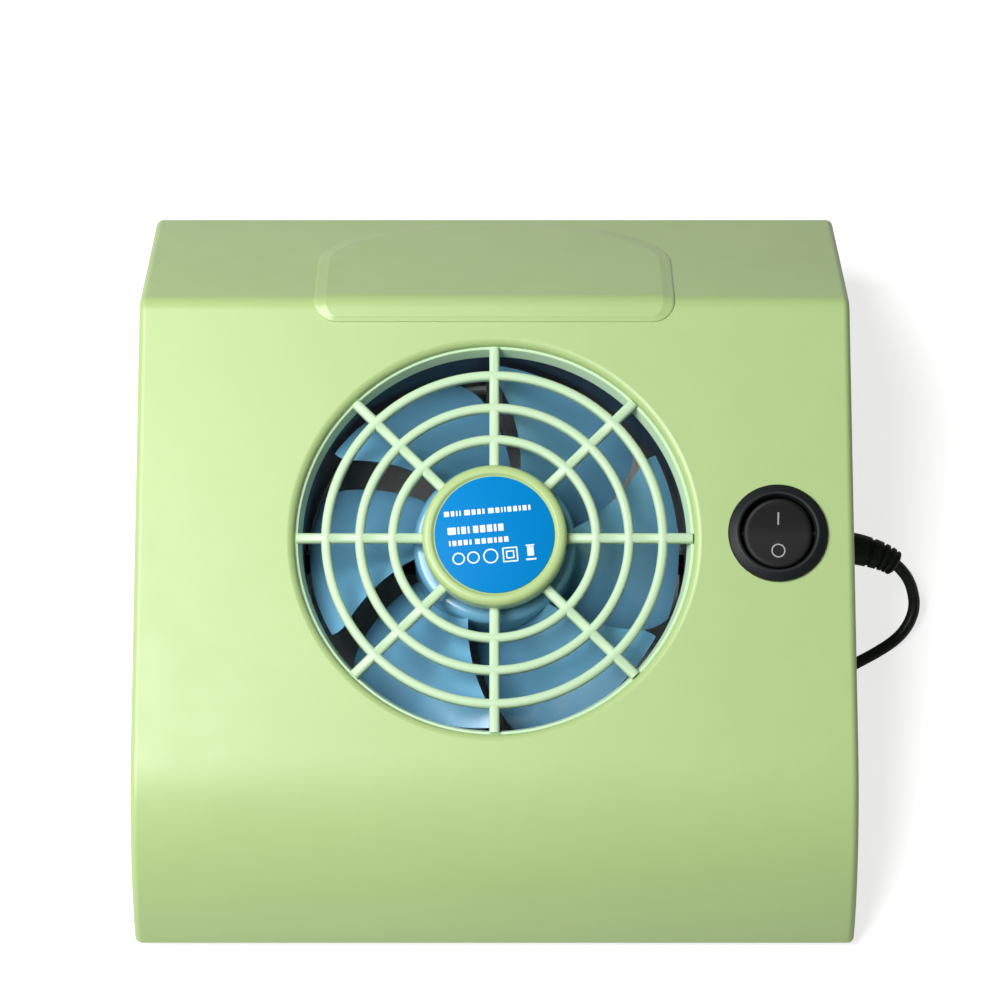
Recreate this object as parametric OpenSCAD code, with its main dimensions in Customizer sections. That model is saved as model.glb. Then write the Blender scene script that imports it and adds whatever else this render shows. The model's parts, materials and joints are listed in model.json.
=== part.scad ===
// Desktop nail dust collector. A low hood with a sloping top face holds an axial fan
// behind a round grille. The fan blows dust into a cloth bag kept under the hood, and a
// USB lead and a round rocker switch feed it. X is the width, Y runs to the back, Z is up.
// The origin is on the table, under the middle of the hood.

/* [Housing] */
// Width of the hood at its lower edge
body_w = 166; // [160:1:176]
// Depth of the hood
body_d = 182; // [182:1:190]
// Height of the corner where the top face and the back slope meet
crest_z = 64; // [62:1:66]
// Distance of that corner from the front edge
crest_from_front = 136.9; // [136.9:1:140]
// Tilt of the top face towards the user, in degrees
face_tilt = 15; // [14:1:16]
// Tilt of the back slope, in degrees
back_tilt = 38; // [36:1:40]
// Radius of the rounded front, where the wrist rests
front_r = 50; // [46:1:54]
// Wall thickness
wall = 2.2; // [1.8:0.1:2.4]
// Radius along the crest
crest_r = 5; // [4:0.5:6]
// Draft of the side walls, in degrees
side_draft = 0; // [0:0.1:1.5]

/* [Fan] */
// Side of the square fan frame
fan_size = 92; // [92:1:94]
// Thickness of the fan
fan_t = 25; // [25:1:26]
// Distance between the fan's screw holes
fan_pitch = 82.5; // [82:0.5:83]
// Radius of the intake opening in the top face
intake_r = 46; // [46:0.5:47]
// Distance of the fan's centre from the front edge
fan_from_front = 81.8; // [80:0.5:83]
// Number of fan blades
blades = 6; // [5:1:7]

/* [Grille] */
// Outer radii of the grille's rings
ring_radii = [40, 32.2, 24.6];
// Width of a ring
ring_w = 2.2; // [1.8:0.1:2.6]
// Number of spokes
spokes = 8; // [6:1:10]
// Width of a spoke
spoke_w = 2.4; // [2:0.1:2.8]
// Radius of the hub cap
hub_r = 16.7; // [16:0.1:18]

/* [Switch] */
// Distance of the switch from the middle of the hood
switch_x = 65.3; // [64:0.1:66]
// Diameter of the switch bezel
bezel_d = 23; // [22:0.5:24]
// Travel of the rocker, in degrees
rocker_travel = 20; // [16:1:20]

/* [Cord] */
// Diameter of the USB lead
cord_d = 2.8; // [2.6:0.1:3]
// Height of the lead's exit
exit_z = 15; // [14:1:16]

/* [Feet] */
// Height of the rubber feet
foot_h = 3.5; // [3.5:0.5:5]
// Radius of a foot
foot_r = 6; // [5:0.5:6]

/* [Hidden] */
$fn = 64;

// Main lines of the side profile, as [Y, Z]
crest = [crest_from_front - body_d / 2, crest_z];
front_foot = [-body_d / 2, foot_h];
face_u = [cos(face_tilt), sin(face_tilt)];
face_n = [-sin(face_tilt), cos(face_tilt)];
front_drop = -(front_foot - crest) * face_n;
front_run = sqrt(front_drop * (2 * front_r - front_drop));
front_s = (front_foot - crest) * face_u + front_run;
front_c = crest + front_s * face_u - front_r * face_n;
front_turn = acos((front_r - front_drop) / front_r);
crest_turn = face_tilt + back_tilt;
crest_c = crest - crest_r * tan(crest_turn / 2) * face_u - crest_r * face_n;
back_r = 4;
back_corner_z = crest_z - (body_d / 2 - crest[0]) * tan(back_tilt);
back_c = [body_d / 2 - back_r, back_corner_z - back_r * tan((90 - back_tilt) / 2)];

// Fan axis: its centre on the outside of the top face
fan_y = fan_from_front - body_d / 2;
fan_z = crest_z - (crest[0] - fan_y) * tan(face_tilt);

// Heights along the fan axis, counted from the outside of the top face
flange_t = 1.2;
flange_r = intake_r + 1.8;
frame_top = -5.2;
frame_bottom = frame_top - fan_t;
flange_frame_t = 4;
grille_top = -0.6;
grille_bottom = -2.8;
hub_top = 2.4;
plate_t = 1.6;
collar_end = frame_bottom - plate_t - 4;
bore_r = 44.5;
screw_r = 2;
sleeve_r = 45.5;
sleeve_t = 0.6;

// Rotor
blade_r = 43.3;
rotor_r = 19;
rotor_top = -6;
rotor_bottom = -24;
blade_mid = -15.3;
blade_pitch = 35;
blade_chord = 28;
blade_t = 1.4;
shaft_r = 1.5;
bearing_r = 3.2;
base_top = -28.2;
strut_top = -26.6;

// Switch, counted from its own centre on the top face
switch_s = 0.8;
pivot_n = -1;
lever_n = -10.6;
blade_end_n = -23;
load_s = -5.5;
bezel_r = bezel_d / 2;
rocker_r = 8;

// Raised pad on the crest: square to the front, round to the back
badge_w = 84;
badge_front = 40.5;
badge_straight = 66;
badge_back = 88;
badge_h = 0.8;

// Feet
foot_x = 74.5;
foot_y = 79;
post_r = 6.5;
stem_r = 3;

// USB lead: from the end of the strain relief down to the table, in under the right-hand
// wall, round and back to the coil
cord_r = cord_d / 2;
exit_y = 6.5;
boot_points = [[83, 6.5, 15], [86.6, 6, 15], [90.5, 5, 14.7], [93.6, 4, 14], [96, 3, 12.9]];
boot_radii = [3.9, 3.7, 3.4, 3.1, 2.9];
cord_points = [[96, 3, 12.9], [97.4, 2.2, 11.6], [99.2, 0.6, 9.5], [100.4, -1.8, 7],
    [100.7, -4.2, 5], [100, -6.6, 3.4], [98.6, -8.9, 2.3], [96.4, -11.2, 1.6],
    [92.2, -14.3, 1.4], [87.2, -17.3, 1.4], [83, -19.6, 1.4], [79, -20.4, 1.4],
    [75.4, -19, 1.4], [73, -16, 1.4], [72, -12, 1.4], [72, -5, 1.4], [72.6, 5, 1.4],
    [73.6, 15, 1.4], [74.8, 25, 1.5], [75.8, 35, 1.7], [76.3, 43, 1.9], [76.3, 50, 1.9]];
tail_points = [[47.5, 35, 10.3], [50.4, 32.9, 9.6], [53.4, 30.8, 8.4], [55.3, 29.1, 7.2],
    [56.8, 27, 5.8], [57.7, 24.6, 4.6], [58, 22, 4]];
coil_at = [58, 50];
coil_r = 18.3;
coil_rin = 12.2;
coil_layers = 4;
tie_t = 0.5;
tie_w = 4;
coil_h = coil_layers * cord_d;

// USB plug: its middle line lies along Y
plug_x = 58;
plug_z = 4;
plug_w = 16;
plug_h = 8;
plug_back = 17;
plug_len = 26;
plug_front = plug_back - plug_len;
shell_w = 12;
shell_h = 4.5;
shell_len = 12;
shell_t = 0.3;

// Wires under the face
wire_r = 0.65;
lead_in = -25.95;

// ---------- helpers ----------

// Points of an arc in the side profile
function arc(c, r, from, to, n) =
    [for (i = [0:n]) let (a = from + (to - from) * i / n) c + r * [cos(a), sin(a)]];

// Side profile of the hood, moved inwards by t and closed at the height floor_z
function side_profile(t, floor_z) =
    let (front = arc(front_c, front_r - t, 90 + face_tilt + front_turn, 90 + face_tilt, 14))
    concat(
        [[front[0][0], floor_z]],
        front,
        arc(crest_c, crest_r - t, 90 + face_tilt, 90 - back_tilt, 6),
        arc(back_c, back_r - t, 90 - back_tilt, 0, 4),
        [[body_d / 2 - t, floor_z]]);

// A place on the tilted face: x across, s up the slope, n out of the face
function on_face(x, s, n) = [x,
    fan_y + s * cos(face_tilt) - n * sin(face_tilt),
    fan_z + s * sin(face_tilt) + n * cos(face_tilt)];

module at_face(x = 0, s = 0) {
    translate(on_face(x, s, 0))
        rotate([face_tilt, 0, 0])
            children();
}

module ring(r_out, r_in, n_low, n_high) {
    translate([0, 0, n_low])
        difference() {
            cylinder(r = r_out, h = n_high - n_low);
            translate([0, 0, -1])
                cylinder(r = r_in, h = n_high - n_low + 2);
        }
}

module disc(r, n_low, n_high) {
    translate([0, 0, n_low])
        cylinder(r = r, h = n_high - n_low);
}

module box_between(low, high) {
    translate(low)
        cube(high - low);
}

module across_x(w) {
    translate([-w / 2, 0, 0])
        rotate([90, 0, 90])
            linear_extrude(w)
                children();
}

// The four screw places of the fan
module at_fan_screws() {
    for (sx = [-1, 1])
        for (sy = [-1, 1])
            translate([sx * fan_pitch / 2, sy * fan_pitch / 2, 0])
                children();
}

function unit(v) = v / norm(v);

function direction(p, i, first, last) =
    i == 0 && first != undef ? unit(first)
    : i == len(p) - 1 && last != undef ? unit(last)
    : unit(p[min(i + 1, len(p) - 1)] - p[max(i - 1, 0)]);

function across(v) = unit(cross(v, abs(v[0]) < 0.8 ? [1, 0, 0] : [0, 1, 0]));

function carried(p, i, n, first, last) =
    i >= len(p) ? []
    : let (d = direction(p, i, first, last), m = unit(n - (n * d) * d))
      concat([m], carried(p, i + 1, m, first, last));

// A tube swept along points. r holds one radius for each point
module tube_along(p, r, sides, first = undef, last = undef) {
    side = carried(p, 0, across(direction(p, 0, first, last)), first, last);
    points = [for (i = [0:len(p) - 1])
        let (d = direction(p, i, first, last), up = cross(d, side[i]))
        for (k = [0:sides - 1])
            p[i] + r[i] * (cos(360 * k / sides) * side[i] + sin(360 * k / sides) * up)];
    walls = [for (i = [0:len(p) - 2], k = [0:sides - 1])
        let (a = i * sides + k, b = i * sides + (k + 1) % sides)
        each [[a, a + sides, b + sides], [a, b + sides, b]]];
    start = [for (k = [0:sides - 1]) k];
    end = [for (k = [0:sides - 1]) len(p) * sides - 1 - k];
    polyhedron(points, concat([start, end], walls));
}

function same(v, p) = [for (q = p) v];

// ---------- housing ----------

module hood_solid(t, floor_z) {
    top_w = body_w / 2 - (crest_z - foot_h) * tan(side_draft);
    low_w = body_w / 2 + (foot_h - floor_z) * tan(side_draft);
    intersection() {
        across_x(body_w + 2)
            polygon(side_profile(t, floor_z));
        rotate([90, 0, 0])
            linear_extrude(body_d + 4, center = true)
                polygon([[-low_w + t, floor_z], [low_w - t, floor_z],
                    [top_w - t, crest_z], [-top_w + t, crest_z]]);
    }
}

// Raised plain pad that wraps over the crest
module badge_pad() {
    corner = 5;
    half = badge_w / 2;
    depth = badge_back - badge_straight;
    intersection() {
        translate([0, 0, badge_h])
            hood_solid(0, foot_h);
        translate([0, 0, crest_z / 2])
            linear_extrude(crest_z)
                union() {
                    for (sx = [-1, 1])
                        translate([sx * (half - corner), badge_front + corner])
                            circle(r = corner);
                    translate([-half + corner, badge_front])
                        square([badge_w - 2 * corner, 2 * corner]);
                    polygon(concat([[-half, badge_front + corner], [half, badge_front + corner]],
                        [for (a = [0:7.5:180]) [half * cos(a), badge_straight + depth * sin(a)]]));
                }
    }
}

module top_shell() {
    slot_w = 2.6;
    color([0.86, 0.94, 0.75])
        difference() {
            union() {
                hood_solid(0, foot_h);
                badge_pad();
            }
            difference() {
                hood_solid(wall, foot_h - 5);
                at_face()
                    at_fan_screws()
                        disc(4.2, frame_top, 0);
                for (sx = [-1, 1], sy = [-1, 1])
                    translate([sx * foot_x, sy * foot_y, foot_h])
                        cylinder(r = post_r, h = crest_z);
            }
            at_face()
                disc(intake_r, -9, 9);
            at_face()
                at_fan_screws()
                    disc(screw_r, frame_top - 1, -0.9);
            at_face(switch_x, switch_s)
                disc(10, -9, 9);
            translate([body_w / 2 - 6, exit_y, exit_z])
                rotate([0, 90, 0])
                    cylinder(r = 3, h = 12);
            for (sx = [-1, 1], sy = [-1, 1])
                translate([sx * foot_x, sy * foot_y, foot_h - 1])
                    cylinder(r = stem_r, h = 6.5);
            for (x = [-60:8:60])
                translate([x - slot_w / 2, body_d / 2 - 6, 8])
                    cube([slot_w, 12, 14]);
        }
}

module foot(sx, sy) {
    color([0.16, 0.16, 0.17])
        translate([sx * foot_x, sy * foot_y, 0]) {
            cylinder(r = foot_r, h = foot_h);
            cylinder(r = stem_r, h = foot_h + 5);
        }
}

// ---------- grille ----------

module intake_grille() {
    wall_r = intake_r - 0.15;
    color([0.82, 0.93, 0.74])
        at_face() {
            rotate_extrude()
                polygon([[wall_r - 0.95, frame_top], [wall_r + 0.35, frame_top],
                    [wall_r + 0.35, -wall - flange_t], [flange_r, -wall - flange_t],
                    [flange_r, -wall], [wall_r, -wall], [wall_r, grille_top],
                    [wall_r - 0.95, grille_top]]);
            for (r = ring_radii)
                ring(r, r - ring_w, grille_bottom, grille_top);
            for (i = [0:spokes - 1])
                rotate([0, 0, i * 360 / spokes])
                    box_between([hub_r - 0.5, -spoke_w / 2, grille_bottom + 0.15],
                        [wall_r - 0.5, spoke_w / 2, grille_top - 0.15]);
            difference() {
                disc(hub_r, grille_bottom, hub_top);
                disc(hub_r - 1.5, grille_bottom - 1, hub_top - 1.6);
                disc(14, hub_top - 0.4, hub_top + 1);
            }
        }
}

module hub_label() {
    color([0.02, 0.5, 0.84])
        at_face()
            disc(13.8, hub_top - 0.4, hub_top - 0.15);
}

// ---------- fan ----------

// Square plate with round corners, screw holes and the fan's bore
module fan_plate(n_low, n_high) {
    c = 4;
    h = fan_size / 2;
    translate([0, 0, n_low])
        linear_extrude(n_high - n_low)
            difference() {
                union() {
                    square([fan_size, fan_size - 2 * c], center = true);
                    square([fan_size - 2 * c, fan_size], center = true);
                    for (sx = [-1, 1], sy = [-1, 1])
                        translate([sx * (h - c), sy * (h - c)])
                            circle(r = c);
                }
                circle(r = bore_r);
                for (sx = [-1, 1], sy = [-1, 1])
                    translate([sx * fan_pitch / 2, sy * fan_pitch / 2])
                        circle(r = screw_r + 0.15);
            }
}

module fan_frame() {
    color([0.12, 0.12, 0.13])
        at_face() {
            difference() {
                union() {
                    fan_plate(frame_top - flange_frame_t, frame_top);
                    fan_plate(frame_bottom, frame_bottom + flange_frame_t);
                    ring(fan_size / 2, bore_r, frame_bottom, frame_top);
                }
                box_between([bore_r - 2, -1.7, strut_top], [fan_size, 1.7, strut_top + 1.8]);
            }
            disc(18, frame_bottom, base_top);
            for (i = [0:3])
                rotate([0, 0, i * 90])
                    box_between([17, -2, frame_bottom], [bore_r + 0.5, 2, strut_top]);
            ring(5.2, bearing_r, base_top, -14);
        }
}

module fan_bearing() {
    color([0.72, 0.56, 0.3])
        at_face()
            ring(bearing_r, shaft_r + 0.05, -27.2, -14.2);
}

module stator_arms() {
    for (i = [0:3])
        rotate([0, 0, 45 + i * 90])
            box_between([6, -1.75, -21.5], [12, 1.75, -15.5]);
}

module stator_core() {
    color([0.6, 0.61, 0.63])
        at_face() {
            ring(8, 5.2, -21.5, -15.5);
            stator_arms();
            difference() {
                ring(14.2, 11.6, -21.5, -15.5);
                for (i = [0:3])
                    rotate([0, 0, i * 90])
                        box_between([9, -2, -23], [16, 2, -13]);
            }
        }
}

module stator_windings() {
    color([0.75, 0.38, 0.18])
        at_face()
            difference() {
                for (i = [0:3])
                    rotate([0, 0, 45 + i * 90])
                        box_between([8.4, -3.4, -23], [11, 3.4, -14]);
                stator_arms();
            }
}

module fan_pcb() {
    color([0.08, 0.32, 0.16])
        at_face() {
            ring(15.5, 5.4, base_top, base_top + 1.2);
            rotate([0, 0, 120])
                box_between([8, -1.5, base_top + 1.2], [11, 1.5, base_top + 2.2]);
        }
}

module impeller() {
    color([0.36, 0.55, 0.7])
        at_face() {
            difference() {
                disc(rotor_r, rotor_bottom, rotor_top);
                disc(rotor_r - 1.4, rotor_bottom - 1, rotor_top - 1.4);
            }
            intersection() {
                ring(blade_r, rotor_r - 0.7, -25, -5);
                for (i = [0:blades - 1])
                    rotate([0, 0, i * 360 / blades])
                        translate([rotor_r - 3, 0, blade_mid])
                            rotate([blade_pitch, 0, 0])
                                box_between([0, -blade_chord / 2, -blade_t / 2],
                                    [30, blade_chord / 2, blade_t / 2]);
            }
        }
}

module rotor_cup() {
    r = rotor_r - 1.4;
    top = rotor_top - 1.4;
    color([0.66, 0.67, 0.69])
        at_face()
            difference() {
                union() {
                    ring(r, r - 0.7, rotor_bottom + 0.5, top);
                    disc(r, top - 0.8, top);
                    disc(3, top - 2.8, top);
                }
                disc(shaft_r, top - 4, top + 1);
            }
}

module rotor_magnet() {
    r = rotor_r - 2.1;
    color([0.2, 0.19, 0.19])
        at_face()
            ring(r, r - 2.1, -23, -10);
}

module rotor_shaft() {
    color([0.8, 0.81, 0.82])
        at_face()
            disc(shaft_r, -27.95, rotor_top - 1.4);
}

module shaft_clip() {
    color([0.95, 0.95, 0.93])
        at_face()
            ring(2.9, shaft_r, -27.8, -27.4);
}

module fan_screws() {
    head_n = frame_bottom - plate_t;
    color([0.7, 0.71, 0.73])
        at_face()
            at_fan_screws()
                difference() {
                    union() {
                        disc(screw_r, head_n, -1);
                        disc(3.9, head_n - 2.4, head_n);
                    }
                    box_between([-2.4, -0.45, head_n - 3], [2.4, 0.45, head_n - 1.2]);
                    box_between([-0.45, -2.4, head_n - 3], [0.45, 2.4, head_n - 1.2]);
                }
}

module outlet_collar() {
    color([0.93, 0.94, 0.92])
        at_face() {
            fan_plate(frame_bottom - plate_t, frame_bottom);
            ring(sleeve_r, sleeve_r - 1.5, collar_end, frame_bottom - plate_t + 0.4);
        }
}

// ---------- dust bag ----------

bag_middle = [-8, 15];
bag_plan = [[48.5, 8], [37, 34], [37, 70], [31, 78], [-62, 78], [-70, 70], [-70, 34],
    [-48.5, 8], [-48.5, -12], [-42, -30], [-28, -42], [-12, -47.5], [12, -47.5],
    [28, -42], [42, -30], [48.5, -12]];

// Side outline of the bag: its top follows the end of the collar
function bag_side(t) =
    let (front = on_face(0, -47.3, collar_end - t), back = on_face(0, 47.3, collar_end - t))
    [[-48.5 + t, 0.3 + t * 0.6], [front[1] - 1.5 + t, 1.6 - t * 0.2],
        [front[1] + t, front[2] + t * 0.27], [back[1], back[2]], [60, 27.6 - t],
        [73 - t, 24.5 - t], [79 - t, 14], [80.5 - t, 0.3 + t * 0.6]];

module bag_form(t) {
    k = 1 - t / 40;
    intersection() {
        across_x(200)
            polygon(bag_side(t));
        linear_extrude(60)
            polygon([for (p = bag_plan) bag_middle + k * (p - bag_middle)]);
    }
}

module dust_bag() {
    color([0.96, 0.96, 0.95])
        difference() {
            union() {
                bag_form(0);
                at_face()
                    disc(sleeve_r + sleeve_t, collar_end - 0.5, frame_bottom - plate_t - 0.2);
            }
            bag_form(0.8);
            at_face()
                disc(sleeve_r, collar_end - 1.2, frame_bottom);
        }
}

module bag_elastic() {
    color([0.9, 0.9, 0.88])
        at_face()
            translate([0, 0, frame_bottom - plate_t - 1.8])
                rotate_extrude()
                    translate([sleeve_r + sleeve_t + 0.9, 0])
                        circle(r = 0.9);
}

// ---------- switch ----------

module in_switch() {
    at_face(switch_x, switch_s)
        children();
}

module terminal_slots() {
    box_between([-2.4, -0.4, -15], [2.4, 0.4, -12]);
    box_between([-2.4, load_s - 0.4, -15], [2.4, load_s + 0.4, -12]);
}

module switch_housing() {
    color([0.19, 0.2, 0.2])
        in_switch()
            difference() {
                union() {
                    disc(bezel_r, 0, 1.8);
                    disc(9.9, -14, 0);
                    for (sx = [-1, 1])
                        box_between([sx * 10.3 - 0.6, -2, -5.4], [sx * 10.3 + 0.6, 2, -2.3]);
                }
                disc(8.6, -12.6, 5);
                translate([-9.35, 0, pivot_n])
                    rotate([0, 90, 0])
                        cylinder(r = 1.05, h = 18.7);
                terminal_slots();
            }
}

// The rocker is tilted so that the lower half, marked with a ring, is pressed in
module at_rocker() {
    in_switch()
        translate([0, 0, pivot_n])
            rotate([rocker_travel / 2, 0, 0])
                children();
}

module rocker() {
    color([0.16, 0.16, 0.16])
        at_rocker()
            difference() {
                union() {
                    intersection() {
                        disc(rocker_r, -2, 6);
                        across_x(30)
                            polygon([[-9, -2], [9, -2], [9, 3.75], [0, 2.2], [-9, 3.75]]);
                    }
                    translate([-9.25, 0, 0])
                        rotate([0, 90, 0])
                            cylinder(r = 1, h = 18.5);
                    disc(2.3, -7, 0);
                }
                disc(1.4, -8, -0.9);
            }
}

module plunger() {
    color([0.93, 0.93, 0.9])
        at_rocker()
            intersection() {
                disc(1.35, -8.3, -5.5);
                translate([0, 0, -6.9])
                    sphere(r = 1.4);
            }
}

module plunger_spring() {
    turns = 5;
    steps = 10;
    low = -5.3;
    high = -1.15;
    path = [for (i = [0:turns * steps])
        [1.05 * cos(360 * i / steps), 1.05 * sin(360 * i / steps),
            low + (high - low) * i / (turns * steps)]];
    color([0.75, 0.76, 0.78])
        at_rocker()
            tube_along(path, same(0.16, path), 6);
}

// The lever leans away from the load contact
module contact_lever() {
    lean = -6;
    color([0.8, 0.5, 0.3])
        in_switch()
            translate([0, 0, lever_n])
                rotate([lean, 0, 0])
                    difference() {
                        box_between([-2, -6, 0.2], [2, 6, 0.9]);
                        rotate([0, 90, 0])
                            cylinder(r = 0.45, h = 6, center = true);
                    }
}

module terminal_common() {
    color([0.85, 0.68, 0.36])
        in_switch() {
            box_between([-2.4, -0.4, blade_end_n], [2.4, 0.4, lever_n - 0.6]);
            translate([-1.9, 0, lever_n])
                rotate([0, 90, 0])
                    cylinder(r = 0.4, h = 3.8);
            box_between([-1.9, -0.2, lever_n - 0.7], [1.9, 0.2, lever_n]);
        }
}

module terminal_load() {
    color([0.85, 0.68, 0.36])
        in_switch()
            box_between([-2.4, load_s - 0.4, blade_end_n], [2.4, load_s + 0.4, lever_n - 0.75]);
}

// ---------- USB lead ----------

module strain_relief() {
    color([0.1, 0.11, 0.11]) {
        translate([body_w / 2 - wall - 1.2 - 0.3, exit_y, exit_z])
            rotate([0, 90, 0])
                cylinder(r = 4.6, h = 1.2);
        translate([body_w / 2 - wall - 1, exit_y, exit_z])
            rotate([0, 90, 0])
                cylinder(r = 3, h = wall + 1);
        tube_along(boot_points, boot_radii, 16, first = [1, 0, 0],
            last = cord_points[1] - cord_points[0]);
    }
}

module usb_cord() {
    color([0.09, 0.11, 0.09]) {
        tube_along(cord_points, same(cord_r, cord_points), 8);
        tube_along(tail_points, same(cord_r, tail_points), 8, last = [0, -1, 0]);
    }
}

module cord_coil() {
    color([0.09, 0.11, 0.09])
        translate([coil_at[0], coil_at[1], tie_t])
            ring(coil_r + cord_r, coil_rin - cord_r, 0, coil_h);
}

module coil_tie() {
    low_r = coil_rin - cord_r - tie_t;
    high_r = coil_r + cord_r + tie_t;
    color([0.2, 0.2, 0.21])
        translate([coil_at[0], coil_at[1], 0])
            intersection() {
                difference() {
                    ring(high_r, low_r, 0, coil_h + 2 * tie_t);
                    ring(high_r - tie_t, low_r + tie_t, tie_t, coil_h + tie_t);
                }
                box_between([-tie_w / 2, 0, -1], [tie_w / 2, 30, 30]);
            }
}

// A block with rounded long edges, lying along Y
module soft_block(w, h, from_y, to_y, r) {
    translate([plug_x, to_y, plug_z])
        rotate([90, 0, 0])
            linear_extrude(to_y - from_y)
                union() {
                    square([w, h - 2 * r], center = true);
                    square([w - 2 * r, h], center = true);
                    for (sx = [-1, 1], sz = [-1, 1])
                        translate([sx * (w / 2 - r), sz * (h / 2 - r)])
                            circle(r = r);
                }
}

module usb_plug_body() {
    color([0.08, 0.09, 0.09])
        difference() {
            union() {
                soft_block(plug_w, plug_h, plug_front, plug_back, 2.4);
                translate([plug_x, plug_back + 5, plug_z])
                    rotate([90, 0, 0])
                        cylinder(r1 = 2, r2 = 2.8, h = 6);
            }
            soft_block(shell_w, shell_h, plug_front - 1, plug_front + 5, 0.6);
        }
}

module usb_plug_shell() {
    color([0.78, 0.79, 0.81])
        difference() {
            soft_block(shell_w, shell_h, plug_front - shell_len, plug_front + 5, 0.6);
            soft_block(shell_w - 2 * shell_t, shell_h - 2 * shell_t,
                plug_front - shell_len - 1, plug_front + 4, 0.4);
            for (sx = [-1, 1])
                box_between([plug_x + sx * 2.9 - 1.1, plug_front - 7, 0],
                    [plug_x + sx * 2.9 + 1.1, plug_front - 4.8, 9]);
        }
}

module usb_plug_tongue() {
    color([0.93, 0.93, 0.92])
        box_between([plug_x - 5.2, plug_front - shell_len + 0.8, plug_z - 1.94],
            [plug_x + 5.2, plug_front + 4, plug_z - 0.1]);
}

module usb_plug_contacts() {
    color([0.86, 0.7, 0.34])
        for (x = [-3.5, -1, 1, 3.5])
            box_between([plug_x + x - 0.5, plug_front - shell_len + 2, plug_z - 0.1],
                [plug_x + x + 0.5, plug_front + 2, plug_z + 0.1]);
}

// ---------- wires under the face ----------

split = [69.6, 5.3, 17];
inner_points = [[79.3, exit_y, exit_z], [76, exit_y, 15.2], [72.6, 6.1, 16], split];
common_end = on_face(switch_x, switch_s, blade_end_n);
common_low = on_face(switch_x, switch_s, blade_end_n - 5);
load_end = on_face(switch_x, switch_s + load_s, blade_end_n);
load_low = on_face(switch_x, switch_s + load_s, blade_end_n - 5);
split_u = unit(split - inner_points[2]);

module inner_lead() {
    color([0.09, 0.11, 0.09])
        tube_along(inner_points, same(cord_r, inner_points), 8, first = [-1, 0, 0]);
}

module wire_red_supply() {
    start = split + [0, 0, 0.68];
    path = [start, start + 2.4 * split_u + [0, 0, 0.4], [66.6, 1.6, 19.6], common_low,
        common_end];
    color([0.75, 0.08, 0.07])
        tube_along(path, same(wire_r, path), 8, first = split_u,
            last = common_end - common_low);
}

module wire_red_fan() {
    path = [load_end, load_low, [63.6, -7, 18.6], [60, -6.3, 17.6], [55, -5, 19.6],
        on_face(50, -0.85, lead_in), on_face(fan_size / 2, -0.85, lead_in),
        on_face(18, -0.85, lead_in), on_face(13.5, -0.85, -26.3)];
    color([0.75, 0.08, 0.07])
        tube_along(path, same(wire_r, path), 8, first = load_low - load_end);
}

module wire_black() {
    start = split - [0, 0, 0.68];
    path = [start, start + 2.4 * split_u - [0, 0, 0.4], [63, 2.8, 16.2], [56, 0.6, 18.6],
        on_face(50, 0.85, lead_in), on_face(fan_size / 2, 0.85, lead_in),
        on_face(18, 0.85, lead_in), on_face(13.5, 0.85, -26.3)];
    color([0.06, 0.06, 0.06])
        tube_along(path, same(wire_r, path), 8, first = split_u);
}

module heat_shrinks() {
    color([0.12, 0.12, 0.12])
        for (s = [0, load_s])
            at_face(switch_x, switch_s + s)
                ring(1.3, wire_r + 0.01, blade_end_n - 4.6, blade_end_n);
}

top_shell();
intake_grille();
hub_label();
fan_frame();
fan_bearing();
stator_core();
stator_windings();
fan_pcb();
impeller();
rotor_cup();
rotor_magnet();
rotor_shaft();
shaft_clip();
fan_screws();
outlet_collar();
dust_bag();
bag_elastic();
switch_housing();
rocker();
plunger();
plunger_spring();
contact_lever();
terminal_common();
terminal_load();
strain_relief();
usb_cord();
cord_coil();
coil_tie();
usb_plug_body();
usb_plug_shell();
usb_plug_tongue();
usb_plug_contacts();
inner_lead();
wire_red_supply();
wire_red_fan();
wire_black();
heat_shrinks();
foot(-1, -1);  // foot_front_left
foot(1, -1);  // foot_front_right
foot(-1, 1);  // foot_rear_left
foot(1, 1);  // foot_rear_right
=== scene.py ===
import json
import math

import bmesh
import bpy
from mathutils import Matrix, Vector


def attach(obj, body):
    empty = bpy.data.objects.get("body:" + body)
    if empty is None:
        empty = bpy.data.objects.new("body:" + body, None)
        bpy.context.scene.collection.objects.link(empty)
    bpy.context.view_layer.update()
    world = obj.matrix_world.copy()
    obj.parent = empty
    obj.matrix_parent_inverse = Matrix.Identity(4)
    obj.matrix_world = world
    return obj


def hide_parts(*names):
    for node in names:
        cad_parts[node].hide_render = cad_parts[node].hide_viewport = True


# Looks of a desktop nail dust collector: a pale green hood with a round grille over a fan,
# a rocker switch, a USB lead in a coil and a cloth dust bag under the hood.
# Sizes below are millimetres in the part's own frame. Blender objects are in metres.

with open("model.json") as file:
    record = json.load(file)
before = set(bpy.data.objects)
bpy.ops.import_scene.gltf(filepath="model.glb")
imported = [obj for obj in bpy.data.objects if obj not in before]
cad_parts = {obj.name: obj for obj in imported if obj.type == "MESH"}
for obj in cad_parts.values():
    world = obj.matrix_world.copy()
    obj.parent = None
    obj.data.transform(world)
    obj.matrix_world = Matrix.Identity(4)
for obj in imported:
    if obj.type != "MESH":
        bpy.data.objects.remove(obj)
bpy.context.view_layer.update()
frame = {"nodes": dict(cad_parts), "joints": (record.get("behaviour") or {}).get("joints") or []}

MM = 0.001

# --- driving dimensions ---

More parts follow.
